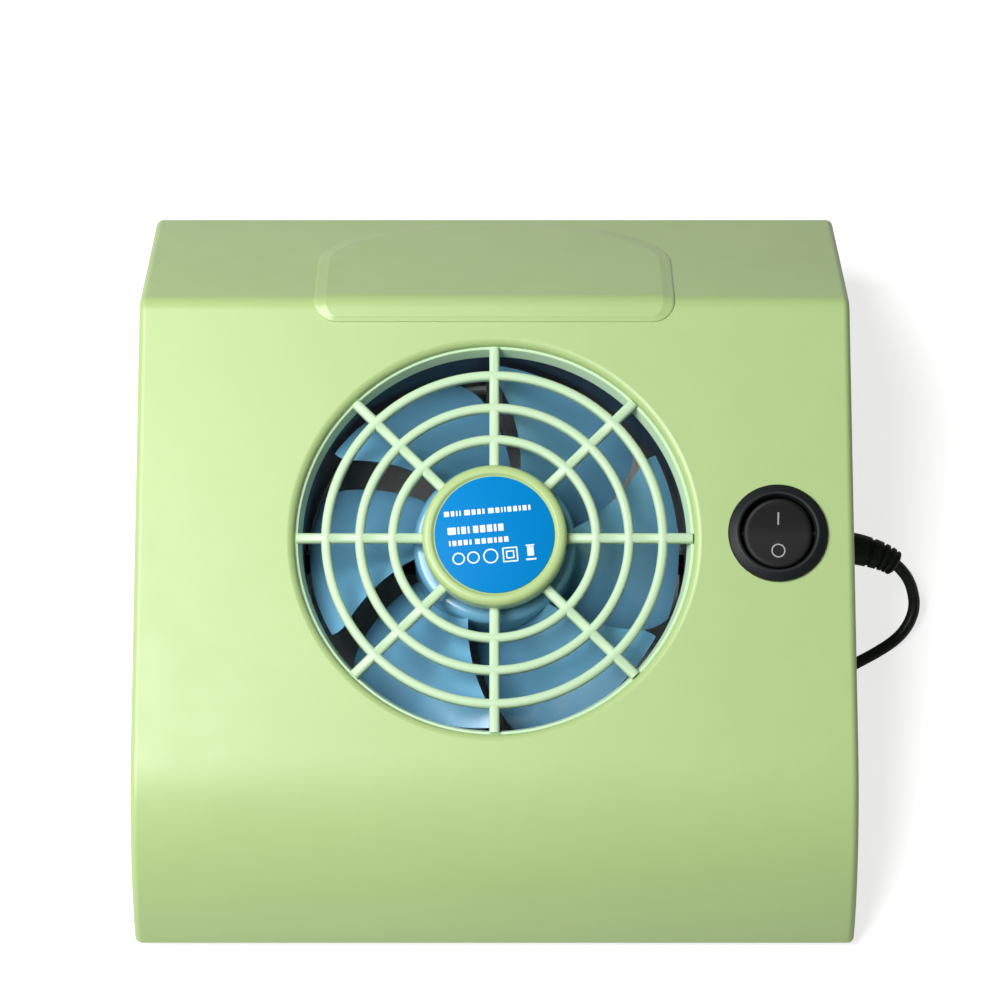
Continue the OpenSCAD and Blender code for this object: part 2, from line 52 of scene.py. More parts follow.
BODY_W, BODY_D = 166.0, 182.0
FOOT_H, CREST_Z, CREST_Y = 3.5, 64.0, 45.9
FACE_TILT, BACK_TILT = 15.0, 38.0
FRONT_R, CREST_R, BACK_R = 50.0, 5.0, 4.0
WALL, EDGE_R = 2.2, 1.7
INTAKE_R, LIP_R = 46.0, 2.0
RINGS = (40.0, 32.2, 24.6)
BAR_W, BAR_TOP, BAR_LOW = 2.2, -0.6, -2.8
SPOKE_W, SPOKES = 2.4, 8
HUB_R, HUB_TOP = 16.7, 2.4
SWITCH_X, SWITCH_S = 65.3, 0.8
FAN_DEPTH, PIVOT_DEPTH = 15.0, 1.0  # of the fan's and the rocker's joints, under the face
ROCKER_REST = 10.0  # tilt of the rocker at rest
CORD_R, WIRE_R = 1.4, 0.65
LEAD_Y, LEAD_Z = 6.5, 15.0
COIL_X, COIL_Y, COIL_TURNS, COIL_LAYERS = 58.0, 50.0, 8.653, 4
COIL_OUT, COIL_IN, COIL_LOW = 18.3, 12.2, 1.9


def tan(a):
    return math.tan(math.radians(a))


def cos(a):
    return math.cos(math.radians(a))


def sin(a):
    return math.sin(math.radians(a))


# --- frames of the tilted face and of the switch ---

JOINTS = {j["name"]: j for j in frame["joints"]}


def axes(origin, x, y, z):
    """A matrix whose X, Y and Z are those directions, at that origin."""
    m = Matrix((x, y, z)).transposed().to_4x4()
    m.translation = origin
    return m


def turned(matrix, angle, axis="Z"):
    """The frame, turned about one of its own axes."""
    return matrix @ Matrix.Rotation(math.radians(angle), 4, axis)


FACE_N = Vector(JOINTS["fan_spin"]["axis"]).normalized()
FACE_S = Vector((0, FACE_N.z, -FACE_N.y))
X_AXIS, Y_AXIS, Z_AXIS = Vector((1, 0, 0)), Vector((0, 1, 0)), Vector((0, 0, 1))
FAN_JOINT = Vector(JOINTS["fan_spin"]["pos_m"])
FACE = axes(FAN_JOINT + FAN_DEPTH * MM * FACE_N, X_AXIS, FACE_S, FACE_N)
PIVOT = Vector(JOINTS["rocker_tilt"]["pos_m"])
SWITCH = axes(PIVOT + PIVOT_DEPTH * MM * FACE_N, X_AXIS, FACE_S, FACE_N)
ROCKER = turned(axes(PIVOT, X_AXIS, FACE_S, FACE_N), ROCKER_REST, "X")
WORLD = Matrix.Identity(4)


def on_face(x, s, n):
    """A place on the tilted face, in millimetres of the part's own frame."""
    return FACE @ (Vector((x, s, n)) * MM) / MM


def side_frame(depth):
    """The frame of the lead's hole, that deep in the right wall, with its Z outwards."""
    return axes(Vector((BODY_W / 2 - depth, LEAD_Y, LEAD_Z)) * MM, Y_AXIS, Z_AXIS, X_AXIS)


# --- outlines ---


def arc(cx, cy, r, start, end, steps):
    """Points of an arc, both ends included."""
    turn = [start + (end - start) * i / steps for i in range(steps + 1)]
    return [(cx + r * cos(a), cy + r * sin(a)) for a in turn]


def fillet(corners, steps=4):
    """A closed outline from (x, y, radius) corners, each rounded by its radius."""
    out = []
    count = len(corners)
    for i, (x, y, r) in enumerate(corners):
        if r <= 0:
            out.append((x, y))
            continue
        here = Vector((x, y))
        before = (Vector(corners[i - 1][:2]) - here).normalized()
        after = (Vector(corners[(i + 1) % count][:2]) - here).normalized()
        half = before.angle(after) / 2
        reach = r / math.tan(half)
        centre = here + (before + after).normalized() * (r / math.sin(half))
        a = here + before * reach - centre
        b = here + after * reach - centre
        sweep = a.angle(b)
        for k in range(steps + 1):
            t = sweep * k / steps
            p = centre + (a * math.sin(sweep - t) + b * math.sin(t)) / math.sin(sweep)
            out.append((p.x, p.y))
    return out


def round_box(w, h, r, steps=4):
    """A rectangle with round corners, centred."""
    x, y = w / 2, h / 2
    return fillet([(-x, -y, r), (x, -y, r), (x, y, r), (-x, y, r)], steps)


# --- mesh making ---


def mesh_object(name, points, faces, matrix=WORLD):
    """A mesh object from points in millimetres in that frame."""
    mesh = bpy.data.meshes.new(name)
    mesh.from_pydata([matrix @ (Vector(p) * MM) for p in points], [], faces)
    obj = placed(name, mesh)
    tidy(obj)
    return obj


def placed(name, data):
    """An object for that mesh, curve, light or camera, in the scene."""
    obj = bpy.data.objects.new(name, data)
    bpy.context.scene.collection.objects.link(obj)
    return obj


def from_bmesh(name, bm):
    mesh = bpy.data.meshes.new(name)
    bm.to_mesh(mesh)
    bm.free()
    return placed(name, mesh)


def tidy(obj, gap=0.002):
    """Merges points that coincide and turns every face outwards."""
    bm = bmesh.new()
    bm.from_mesh(obj.data)
    bmesh.ops.remove_doubles(bm, verts=bm.verts, dist=gap * MM)
    bmesh.ops.recalc_face_normals(bm, faces=bm.faces)
    bm.to_mesh(obj.data)
    bm.free()


def lathe(name, outline, matrix=FACE, steps=128):
    """Turns a closed outline of (radius, height) about the frame's Z."""
    m = len(outline)

    def corner(i, k):
        return k if outline[k][0] == 0 else i % steps * m + k

    faces = []
    for i in range(steps):
        for k in range(m):
            q = (k + 1) % m
            face = {corner(i, k): 0, corner(i + 1, k): 0, corner(i + 1, q): 0, corner(i, q): 0}
            if len(face) > 2:
                faces.append(list(face))
    points = [(r * x, r * y, n) for x, y in circle(1, steps) for r, n in outline]
    return mesh_object(name, points, faces, matrix)


def prism(name, outline, low, high, matrix=WORLD):
    """A straight prism on an outline in the frame's XY plane."""
    m = len(outline)
    points = [(x, y, low) for x, y in outline] + [(x, y, high) for x, y in outline]
    faces = [list(range(m)), list(range(m, 2 * m))]
    faces += [[k, (k + 1) % m, m + (k + 1) % m, m + k] for k in range(m)]
    return mesh_object(name, points, faces, matrix)


def loft(name, sections, matrix=WORLD, closed_ring=False, open_start=False):
    """A skin over sections, each a list of as many points, with its ends closed."""
    m = len(sections[0])
    rows = len(sections)
    faces = []
    for i in range(rows if closed_ring else rows - 1):
        j = (i + 1) % rows
        for k in range(m):
            q = (k + 1) % m
            faces.append([i * m + k, i * m + q, j * m + q, j * m + k])
    if not (closed_ring or open_start):
        faces.append(list(range(m)))
    if not closed_ring:
        faces.append([(rows - 1) * m + k for k in range(m)])
    return mesh_object(name, [p for section in sections for p in section], faces, matrix)


def smooth_path(points, per_span):
    """More points on a smooth curve through the given ones."""
    p = [Vector(q) for q in points]
    p = [2 * p[0] - p[1]] + p + [2 * p[-1] - p[-2]]
    out = []
    for i in range(1, len(p) - 2):
        a, b, c, d = p[i - 1 : i + 3]
        for k in range(per_span):
            t = k / per_span
            out.append(0.5 * (2 * b + (c - a) * t + (2 * a - 5 * b + 4 * c - d) * t * t
                              + (3 * b - a - 3 * c + d) * t ** 3))
    return out + [p[-2]]


def sweep_rings(path, outlines):
    """The outlines set across a path, one for each point, carried without twist."""
    rings = []
    side = None
    for i, p in enumerate(path):
        d = (path[min(i + 1, len(path) - 1)] - path[max(i - 1, 0)]).normalized()
        if side is None:
            side = (d.orthogonal() if abs(d.z) > 0.9 else d.cross(Z_AXIS)).normalized()
        side = (side - side.dot(d) * d).normalized()
        up = side.cross(d)
        rings.append([p + x * side + y * up for x, y in outlines[i]])
    return rings


def circle(r, sides):
    return [(r * cos(360 * k / sides), r * sin(360 * k / sides)) for k in range(sides)]


def tube(name, path, radius, sides=16):
    """A round tube along a path. radius is one number, or one for each point."""
    radii = radius if isinstance(radius, (list, tuple)) else [radius] * len(path)
    return loft(name, sweep_rings(path, [circle(r, sides) for r in radii]))


def joined(name, objects):
    """One object from several, each still a closed form."""
    bm = bmesh.new()
    for o in objects:
        bm.from_mesh(o.data)
        bpy.data.objects.remove(o)
    return from_bmesh(name, bm)


def set_all(target, **values):
    for key, value in values.items():
        setattr(target, key, value)


def apply_modifiers(obj):
    shown = obj.evaluated_get(bpy.context.evaluated_depsgraph_get())
    mesh = bpy.data.meshes.new_from_object(shown)
    obj.modifiers.clear()
    obj.data = mesh


def apply_with(obj, kind, **settings):
    """Adds a modifier with those settings and applies it."""
    set_all(obj.modifiers.new(kind.lower(), kind), **settings)
    bpy.context.view_layer.update()
    apply_modifiers(obj)


def combine(obj, other, operation):
    """obj joined with other, or cut by it. other is used up."""
    apply_with(obj, "BOOLEAN", operation=operation, solver="EXACT", object=other)
    bpy.data.objects.remove(other)
    tidy(obj)
    return obj


def bevel(obj, width):
    mod = obj.modifiers.new("round_edges", "BEVEL")
    set_all(mod, width=width * MM, segments=2, limit_method="ANGLE", angle_limit=math.radians(32),
            harden_normals=True, use_clamp_overlap=True)


def finished(obj, body, slot, replaces=(), sharp=34, weighted=False, look=None):
    """Shades a piece, gives it the finish of its slot or the one named, sets it on its body."""
    obj.data.shade_smooth()
    obj.data.set_sharp_from_angle(angle=math.radians(sharp))
    obj.data.materials.clear()
    obj.data.materials.append(FINISHES[look or slot])
    if weighted:
        mod = obj.modifiers.new("weighted_normals", "WEIGHTED_NORMAL")
        set_all(mod, keep_sharp=True, weight=100)
    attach(obj, body)
    if replaces:
        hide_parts(*replaces)
    return obj


# --- materials ---


class Finish:
    """A Principled material built up in steps from procedural nodes in object coordinates."""

    def __init__(self, name, color, rough, metal=0.0, **inputs):
        self.material = bpy.data.materials.new(name)
        self.material.use_nodes = True
        self.nodes = self.material.node_tree.nodes
        self.links = self.material.node_tree.links
        self.bsdf = self.nodes["Principled BSDF"]
        self.place = self.node("TexCoord")["Object"]
        self.own, self.rough, self.normal = color, rough, None
        self.color = self.node("RGB")[0]
        self.color.default_value = (*color, 1)
        self.feed(self.bsdf, Roughness=rough, Metallic=metal, **inputs)

    def feed(self, node, **inputs):
        """Sets inputs of a node, each to a value or to the output of another node."""
        for key, value in inputs.items():
            socket = node.inputs[key.replace("_", " ")]
            if isinstance(value, bpy.types.NodeSocket):
                self.links.new(value, socket)
            else:
                socket.default_value = value

    def node(self, kind, settings=(), **inputs):
        """The outputs of a new node with those settings and inputs."""
        node = self.nodes.new("ShaderNode" + kind)
        set_all(node, **dict(settings))
        self.feed(node, **inputs)
        return node.outputs

    def noise(self, scale, detail=3.0, stretch=None):
        place = self.place
        if stretch:
            place = self.node("Mapping", Scale=stretch, Vector=place)["Vector"]
        return self.node("TexNoise", Scale=scale, Detail=detail, Vector=place)["Fac"]

    def cells(self, scale, feature="F1"):
        settings = {"feature": feature}
        return self.node("TexVoronoi", settings, Scale=scale, Vector=self.place)["Distance"]

    def waves(self, scale, axis="X", distortion=0.0):
        settings = {"bands_direction": axis}
        return self.node("TexWave", settings, Scale=scale, Distortion=distortion,
                         Vector=self.place)["Fac"]

    def ranged(self, value, low, high, start=0.3, end=0.7):
        """The value, mapped from start..end to low..high."""
        return self.node("MapRange", From_Min=start, From_Max=end, To_Min=low, To_Max=high,
                         Value=value)["Result"]

    def tint(self, value, color, low=0.0, high=1.0, start=0.3, end=0.7):
        """Mixes the colour towards another one, as much as the value says."""
        factor = self.ranged(value, low, high, start, end)
        self.color = self.node("Mix", {"data_type": "RGBA"}, Factor=factor, A=self.color,
                               B=(*color, 1))["Result"]

    def shade(self, value, factor, high, low=0.0, start=0.3, end=0.7):
        """Mixes the colour towards its own darker or lighter shade."""
        self.tint(value, [c * factor for c in self.own], low, high, start, end)

    def roughness(self, value, spread):
        low, high = self.rough - spread, self.rough + spread
        self.feed(self.bsdf, Roughness=self.ranged(value, low, high))

    def bump(self, value, depth, strength=1.0):
        """depth is the height of the relief in millimetres."""
        below = {"Normal": self.normal} if self.normal else {}
        self.normal = self.node("Bump", Strength=strength, Distance=depth * MM, Height=value,
                                **below)["Normal"]

    def done(self):
        self.feed(self.bsdf, Base_Color=self.color)
        if self.normal:
            self.feed(self.bsdf, Normal=self.normal)
        return self.material


def moulded(name, color, rough, grain=1400.0, depth=0.006, **inputs):
    """Moulded plastic: faint cloudiness, a fine mould texture and uneven gloss."""
    f = Finish(name, color, rough, **inputs)
    f.shade(f.noise(28, 3), 0.94, 0.55)
    f.shade(f.noise(900, 2), 0.94, 0.25)
    f.roughness(f.noise(120, 4), 0.04)
    f.bump(f.noise(grain, 2), depth, 0.6)
    f.bump(f.noise(90, 2), 0.02, 0.35)
    return f.done()


def rubber(name, color, rough=0.55):
    f = Finish(name, color, rough)
    f.tint(f.noise(260, 4), tuple(c * 1.5 + 0.012 for c in color), 0.0, 0.5)
    f.roughness(f.noise(500, 3), 0.08)
    f.bump(f.noise(2600, 2), 0.012, 0.5)
    return f.done()


def metal(name, color, rough=0.3, stretch=(1, 1, 14), grain=700.0):
    f = Finish(name, color, rough, 1.0)
    f.shade(f.noise(60, 3), 0.82, 0.5)
    f.roughness(f.noise(grain, 3, stretch), 0.09)
    f.bump(f.noise(grain, 2, stretch), 0.004, 0.5)
    return f.done()


def laminated(name, color):
    """Stacked steel sheets, seen from their cut edges."""
    f = Finish(name, color, 0.42, 1.0)
    f.shade(f.waves(160, "Z"), 0.45, 0.8)
    f.bump(f.waves(160, "Z"), 0.03, 0.7)
    return f.done()


def wound(name, color):
    """Enamelled copper wire in close turns."""
    f = Finish(name, color, 0.3, 0.85, Coat_Weight=0.4)
    f.shade(f.waves(280, "Z", 1.2), 0.4, 0.8)
    f.bump(f.waves(280, "Z", 1.2), 0.08, 0.8)
    return f.done()


def board(name, color):
    """Solder mask with faint tracks under it."""
    f = Finish(name, color, 0.32, Coat_Weight=0.3)
    f.shade(f.cells(260, "DISTANCE_TO_EDGE"), 1.9, 0.6, start=0.0, end=0.12)
    f.bump(f.cells(260), 0.02, 0.4)
    return f.done()


def nonwoven(name, color):
    """Spunbond cloth: tiny pressed points in rows over loose fibres."""
    f = Finish(name, color, 0.85, Sheen_Weight=0.35)
    f.shade(f.noise(1500, 6), 0.86, 0.7)
    f.shade(f.cells(700), 0.8, 0.0, 0.5, 0.0, 0.25)
    f.shade(f.noise(30, 3), 0.93, 0.8)
    f.bump(f.cells(700), 0.09, 0.8)
    f.bump(f.noise(2200, 5, (1, 3, 1)), 0.05, 0.6)
    return f.done()


def woven(name, color, scale=420.0):
    """Narrow woven tape."""
    f = Finish(name, color, 0.8, Sheen_Weight=0.4)
    f.shade(f.waves(scale, "X", 0.4), 0.6, 0.6)
    f.bump(f.waves(scale, "X", 0.4), 0.06, 0.8)
    f.bump(f.waves(scale, "DIAGONAL", 0.4), 0.05, 0.6)
    return f.done()


FINISHES = {
    "housing": moulded("pale_lime_abs", (0.450, 0.617, 0.252), 0.36, Specular_IOR_Level=0.6),
    "grille": moulded("pale_mint_abs", (0.56, 0.77, 0.50), 0.34, Specular_IOR_Level=0.45),
    "label": moulded("blue_film", (0.001, 0.232, 0.60), 0.45, 900, 0.002,
                     Specular_IOR_Level=0.05),
    "print": moulded("white_print", (0.86, 0.93, 0.96), 0.5, 900, 0.002),
    "fan_frame": moulded("black_pbt", (0.013, 0.017, 0.030), 0.42),
    "impeller": moulded("steel_blue_pbt", (0.15, 0.40, 0.60), 0.22, Coat_Weight=0.5,
                        Coat_Roughness=0.12),
    "bearing": metal("sintered_bronze", (0.50, 0.34, 0.14), 0.45, None),
    "core_steel": laminated("core_laminations", (0.42, 0.43, 0.45)),
    "windings": wound("copper_winding", (0.55, 0.17, 0.05)),
    "circuit_board": board("green_board", (0.012, 0.09, 0.03)),
    "rotor_steel": metal("plated_steel", (0.52, 0.53, 0.55), 0.32),
    "magnet": moulded("bonded_ferrite", (0.03, 0.028, 0.028), 0.6, 1800, 0.02),
    "steel": metal("bright_steel", (0.60, 0.61, 0.63), 0.28),
    "clip_plastic": moulded("white_nylon", (0.82, 0.82, 0.78), 0.45),
    "collar": moulded("white_polypropylene", (0.76, 0.79, 0.73), 0.48),
    "bag_cloth": nonwoven("white_nonwoven", (0.80, 0.80, 0.77)),
    "elastic": nonwoven("gathered_hem", (0.70, 0.70, 0.67)),
    "bag_seam": woven("overlock_thread", (0.74, 0.74, 0.71), 900),
    "switch_body": moulded("dark_nylon", (0.012, 0.0145, 0.0155), 0.46, 2200, 0.012,
                           Specular_IOR_Level=0.28),
    "rocker": moulded("black_nylon", (0.009, 0.0095, 0.009), 0.5, 2200, 0.01,
                      Specular_IOR_Level=0.25),
    "mark": moulded("grey_mark_ink", (0.40, 0.40, 0.39), 0.55, 900, 0.002),
    "copper": metal("copper_alloy", (0.60, 0.26, 0.12), 0.35),
    "terminal": metal("tinned_brass", (0.62, 0.46, 0.20), 0.34),
    "cable": rubber("black_pvc", (0.008, 0.012, 0.008), 0.45),
    "boot": rubber("black_moulded_pvc", (0.009, 0.013, 0.009), 0.5),
    "plug_steel": metal("nickel_plate", (0.60, 0.61, 0.63), 0.22),
    "plug_insulator": moulded("white_insulator", (0.80, 0.80, 0.77), 0.4),
    "contacts": metal("gold_flash", (0.80, 0.52, 0.16), 0.25),
    "tie": woven("black_tape", (0.018, 0.018, 0.020)),
    "wire_red": rubber("red_pvc", (0.42, 0.010, 0.008), 0.4),
    "wire_black": rubber("black_wire_pvc", (0.010, 0.010, 0.010), 0.4),
    "foot": rubber("black_rubber", (0.014, 0.014, 0.015), 0.7),
}


# --- stage, light and camera ---

AIM = Vector((0, -4, 32)) * MM
CAMERA_DISTANCE = 1.0
CAMERA_ELEVATION = 61.7


def aimed_from(obj, place):
    obj.location = place
    obj.rotation_euler = (AIM - place).to_track_quat("-Z", "Y").to_euler()


def make_camera():
    data = bpy.data.cameras.new("camera")
    set_all(data, lens=153.5, sensor_width=36, shift_x=0.0055, shift_y=0.0523, clip_start=0.01)
    camera = placed("camera", data)
    back = Vector((0, -cos(CAMERA_ELEVATION), sin(CAMERA_ELEVATION)))
    aimed_from(camera, AIM + CAMERA_DISTANCE * back)
    bpy.context.scene.camera = camera


def make_stage():
    floor = prism("floor", round_box(12000, 12000, 0), -20, 0)
    f = Finish("pale_floor", (0.72, 0.72, 0.72), 0.9)
    f.tint(f.noise(2, 2), (0.70, 0.70, 0.70), 0, 0.4)
    # The floor is white to the camera, and lights the object only a little.
    seen = f.node("LightPath")["Is Camera Ray"]
    f.feed(f.bsdf, Emission_Color=(1, 1, 1, 1), Emission_Strength=f.ranged(seen, 0.08, 0.75, 0, 1))
    floor.data.materials.append(f.done())
    world = bpy.data.worlds.new("studio")
    world.use_nodes = True
    sky = world.node_tree.nodes["Background"]
    sky.inputs["Color"].default_value = (1, 1, 1, 1)
    sky.inputs["Strength"].default_value = 0.065
    bpy.context.scene.world = world
    bpy.context.scene.view_settings.view_transform = "Standard"
    lamp = bpy.data.lights.new("key_left", "AREA")
    set_all(lamp, shape="DISK", size=0.6, energy=8.3)
    aimed_from(placed("key_left", lamp), Vector((-0.36, -0.13, 0.70)))


# --- the lead ---

CORD_POINTS = [
    (96, 3, 12.9), (97.4, 2.2, 11.6), (99.2, 0.6, 9.5), (100.4, -1.8, 7), (100.7, -4.2, 5),
    (100, -6.6, 3.4), (98.6, -8.9, 2.3), (96.4, -11.2, 1.6), (92.2, -14.3, 1.4),
    (87.2, -17.3, 1.4), (83, -19.6, 1.4), (79, -20.4, 1.4), (75.4, -19, 1.4), (73, -16, 1.4),
    (72, -12, 1.4), (72, -5, 1.4), (72.6, 5, 1.4), (73.6, 15, 1.4), (74.8, 25, 1.5),
    (75.8, 35, 1.7), (76.3, 43, 1.9), (76.3, 50, 1.9),
]
TAIL_POINTS = [
    (47.5, 35, 10.3), (50.4, 32.9, 9.6), (53.4, 30.8, 8.4), (55.3, 29.1, 7.2), (56.8, 27, 5.8),
    (57.7, 24.6, 4.6), (58, 22, 4),
]
BOOT_POINTS = [(83, 6.5, 15), (86.6, 6, 15), (90.5, 5, 14.7), (93.6, 4, 14), (96, 3, 12.9)]
TIE_W = 4.0
PLUG_X, PLUG_Z, PLUG_BACK, PLUG_FRONT = 58.0, 4.0, 17.0, -9.0


def coil_points(per_turn=18):
    """Turns that wind in and out in layers, each layer one cord's width above the last."""
    steps = round(COIL_TURNS * per_turn)
    climb = 0.06
    out = []
    for i in range(1, steps):
        layers = COIL_LAYERS * i / steps
        layer = min(int(layers), COIL_LAYERS - 1)
        share = layers - layer
        inward = share if layer % 2 == 0 else 1 - share
        r = COIL_OUT + (COIL_IN - COIL_OUT) * inward
        z = layer - 0.5 * max(0, 1 - share / climb) * (layer > 0)
        z += 0.5 * max(0, 1 - (1 - share) / climb) * (layer < COIL_LAYERS - 1)
        a = 360 * COIL_TURNS * i / steps
        out.append((COIL_X + r * cos(a), COIL_Y + r * sin(a), COIL_LOW + 2 * CORD_R * z))
    return out


def make_lead():
    path = CORD_POINTS + coil_points() + TAIL_POINTS
    curve = bpy.data.curves.new("lead", "CURVE")
    set_all(curve, dimensions="3D", bevel_depth=CORD_R * MM, bevel_resolution=5, use_fill_caps=True)
    spline = curve.splines.new("BEZIER")
    spline.resolution_u = 5
    spline.bezier_points.add(len(path) - 1)
    for point, place in zip(spline.bezier_points, path):
        point.co = Vector(place) * MM
        point.handle_left_type = point.handle_right_type = "AUTO"
    lead = placed("lead", curve)
    curve.materials.append(FINISHES["cable"])
    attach(lead, "root")
    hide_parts("usb_cord", "cord_coil")
    return lead


def make_boot():
    """The tapered strain relief, with a ring notch halfway and cross cuts near its end."""
    path = smooth_path(BOOT_POINTS, 24)
    length = [0.0]
    for a, b in zip(path, path[1:]):
        length.append(length[-1] + (b - a).length)
    total = length[-1]
    round_end = 0.7

    def radius(t):
        r = 3.9 - 0.85 * (t / total) ** 1.4
        if 6.6 < t < 7.3:
            r -= 0.35
        for start in (9.3, 10.8, 12.2):
            if start < t < start + 0.65:
                r -= 0.5
        return r - 0.9 * (max(0, t - total + round_end) / round_end) ** 2

    boot = tube("boot_outside", path, [radius(t) for t in length], 32)
    flange = [(0, 0, 0), (4.6, 0, 0.2), (4.6, 1.2, 0.2), (3, 1.2, 0), (3, 3.7, 0), (0, 3.7, 0)]
    flange = lathe("boot_flange", fillet(flange, 3), side_frame(3.7), 48)
    return finished(joined("cord_boot", [boot, flange]), "root", "boot", ("strain_relief",), 28)


def make_tie():
    """A strip of tape round the turns of the coil, with its end lapped on top."""
    gap = 0.25
    low, high = COIL_IN - CORD_R - gap, COIL_OUT + CORD_R + gap
    top = 2 * COIL_LAYERS * CORD_R + 0.5 + gap
    loop = fillet([(low, gap, 1.2), (high, gap, 1.2), (high, top, 1.2), (low, top, 1.2)], 6)
    section = round_box(TIE_W, 0.42, 0.18, 2)
    centre = Vector((low + high, top)) / 2
    rings = []
    for y, z in loop:
        out = (Vector((y, z)) - centre).normalized()
        rings.append([(COIL_X + w, COIL_Y + y + t * out.x, z + t * out.y) for w, t in section])
    strap = loft("strap", rings, closed_ring=True)
    at = axes(Vector((COIL_X, COIL_Y + 15.2, top + 0.12)) * MM, X_AXIS, Y_AXIS, Z_AXIS)
    lap = prism("lap", round_box(TIE_W, 6.5, 0.8), 0, 0.3, at)
    return finished(joined("tie_strap", [strap, lap]), "root", "tie", ("coil_tie",), 40)


def make_plug():
    """The moulded grip, with a waist, side ribs and a ribbed neck."""

    def section(y, w, h, r, steps=5):
        return [(PLUG_X + x, y, PLUG_Z + z) for x, z in round_box(w, h, r, steps)]

    front, back = PLUG_FRONT, PLUG_BACK
    rows = [(front, 15.2, 7.2, 2.2), (front + 0.25, 15.8, 7.8, 2.4), (front + 0.9, 16, 8, 2.5),
            (front + 6, 16, 8, 2.5), (front + 9, 15.6, 7.9, 2.5)]
    for y in [front + 10 + i * 2 for i in range(5)]:
        rows += [(y, 15.5, 7.8, 2.5), (y + 0.35, 14.9, 7.3, 2.4), (y + 0.85, 14.9, 7.3, 2.4),
                 (y + 1.2, 15.5, 7.8, 2.5)]
    rows += [(back - 4.6, 15.2, 7.7, 2.6), (back - 2.4, 13.8, 7.3, 2.8),
             (back - 0.9, 11, 6.6, 2.9), (back - 0.1, 7.4, 5.8, 2.6)]
    for i in range(3):
        y = back + 0.5 + 1.5 * i
        rib = 2.7 - 0.28 * i
        for step, r in ((0, rib), (0.7, rib), (0.8, rib - 0.45), (1.35, rib - 0.45)):
            rows.append((y + step, 2 * r, 2 * r, r * 0.98))
    rows.append((back + 5, 3.4, 3.4, 1.66))
    grip = loft("plug_grip", [section(*row) for row in rows])
    mouth = loft("mouth", [section(y, 12.1, 4.6, 0.6, 4) for y in (front - 1, front + 5)])
    combine(grip, mouth, "DIFFERENCE")
    return finished(grip, "root", "boot", ("usb_plug_body",), 30)


# --- housing ---


def profile_parts():
    """Centres of the three arcs in the side profile."""
    u = Vector((cos(FACE_TILT), sin(FACE_TILT)))
    n = Vector((-u.y, u.x))
    crest = Vector((CREST_Y, CREST_Z))
    foot = Vector((-BODY_D / 2, FOOT_H))
    drop = -(foot - crest).dot(n)
    along = (foot - crest).dot(u) + math.sqrt(drop * (2 * FRONT_R - drop))
    front_c = crest + along * u - FRONT_R * n
    crest_c = crest - CREST_R * tan((FACE_TILT + BACK_TILT) / 2) * u - CREST_R * n
    corner_z = CREST_Z - (BODY_D / 2 - CREST_Y) * tan(BACK_TILT)
    back_c = Vector((BODY_D / 2 - BACK_R, corner_z - BACK_R * tan((90 - BACK_TILT) / 2)))
    return front_c, crest_c, back_c


FRONT_C, CREST_C, BACK_C = profile_parts()
# Where the face, the crest's arc and the back slope end.
FACE_END = CREST_C.x + CREST_R * cos(90 + FACE_TILT)
CREST_END = CREST_C.x + CREST_R * cos(90 - BACK_TILT)
SLOPE_END = BACK_C.x + BACK_R * cos(90 - BACK_TILT)


def side_profile(inset, floor_z):
    """Side profile as (y, z), moved inwards by inset, from the front foot to the back foot."""
    start = 180 - math.degrees(math.asin((floor_z - FRONT_C.y) / (FRONT_R - inset)))
    return (
        arc(*FRONT_C, FRONT_R - inset, start, 90 + FACE_TILT, 40)
        + arc(*CREST_C, CREST_R - inset, 90 + FACE_TILT, 90 - BACK_TILT, 10)
        + arc(*BACK_C, BACK_R - inset, 90 - BACK_TILT, 0, 8)
        + [(BODY_D / 2 - inset, floor_z)]
    )


def hood_top(y):
    """Height of the outside of the hood over a point of its plan."""
    if y < FACE_END:
        return CREST_Z - (CREST_Y - y) * tan(FACE_TILT)
    if y < CREST_END:
        return CREST_C.y + math.sqrt(CREST_R ** 2 - (y - CREST_C.x) ** 2)
    if y < SLOPE_END:
        return CREST_Z - (y - CREST_Y) * tan(BACK_TILT)
    return BACK_C.y + math.sqrt(max(0.0, BACK_R ** 2 - (y - BACK_C.x) ** 2))


def hood(name, wall, floor_z, edge, steps=6):
    """The hood as a closed form, moved inwards by wall, its side edges rounded by edge."""
    columns = []
    for side, turns in ((-1, range(steps, -1, -1)), (1, range(steps + 1))):
        for k in turns:
            a = 90 * k / steps
            x = side * (BODY_W / 2 - wall - edge * (1 - sin(a)))
            rows = side_profile(wall + edge * (1 - cos(a)), floor_z)
            columns.append([(x, y, z) for y, z in rows])
    return loft(name, columns)


BADGE_HALF, BADGE_CORNER = 42.0, 5.0
BADGE_FRONT, BADGE_STRAIGHT, BADGE_BACK = 40.5, 66.0, 88.0
BADGE_MIDDLE = Vector((0, 62))
BADGE_FRONT_RIM = 0.42  # width of the rim there, as a share of its width elsewhere
BADGE_RIM = ((0.0, 0.22), (0.18, 0.34), (0.8, 0.42), (1.7, 0.56), (2.4, 0.73), (2.8, 0.80))


def badge_outline():
    """Plan of the raised pad: square to the front, round to the back."""
    edge = BADGE_HALF - BADGE_CORNER
    y = BADGE_FRONT + BADGE_CORNER
    depth = BADGE_BACK - BADGE_STRAIGHT
    back = [(BADGE_HALF * cos(a * 3), BADGE_STRAIGHT + depth * sin(a * 3)) for a in range(61)]
    corners = (-edge, 180), (edge, 270)
    front = [p for x, a in corners for p in arc(x, y, BADGE_CORNER, a, a + 90, 8)]
    return front + back


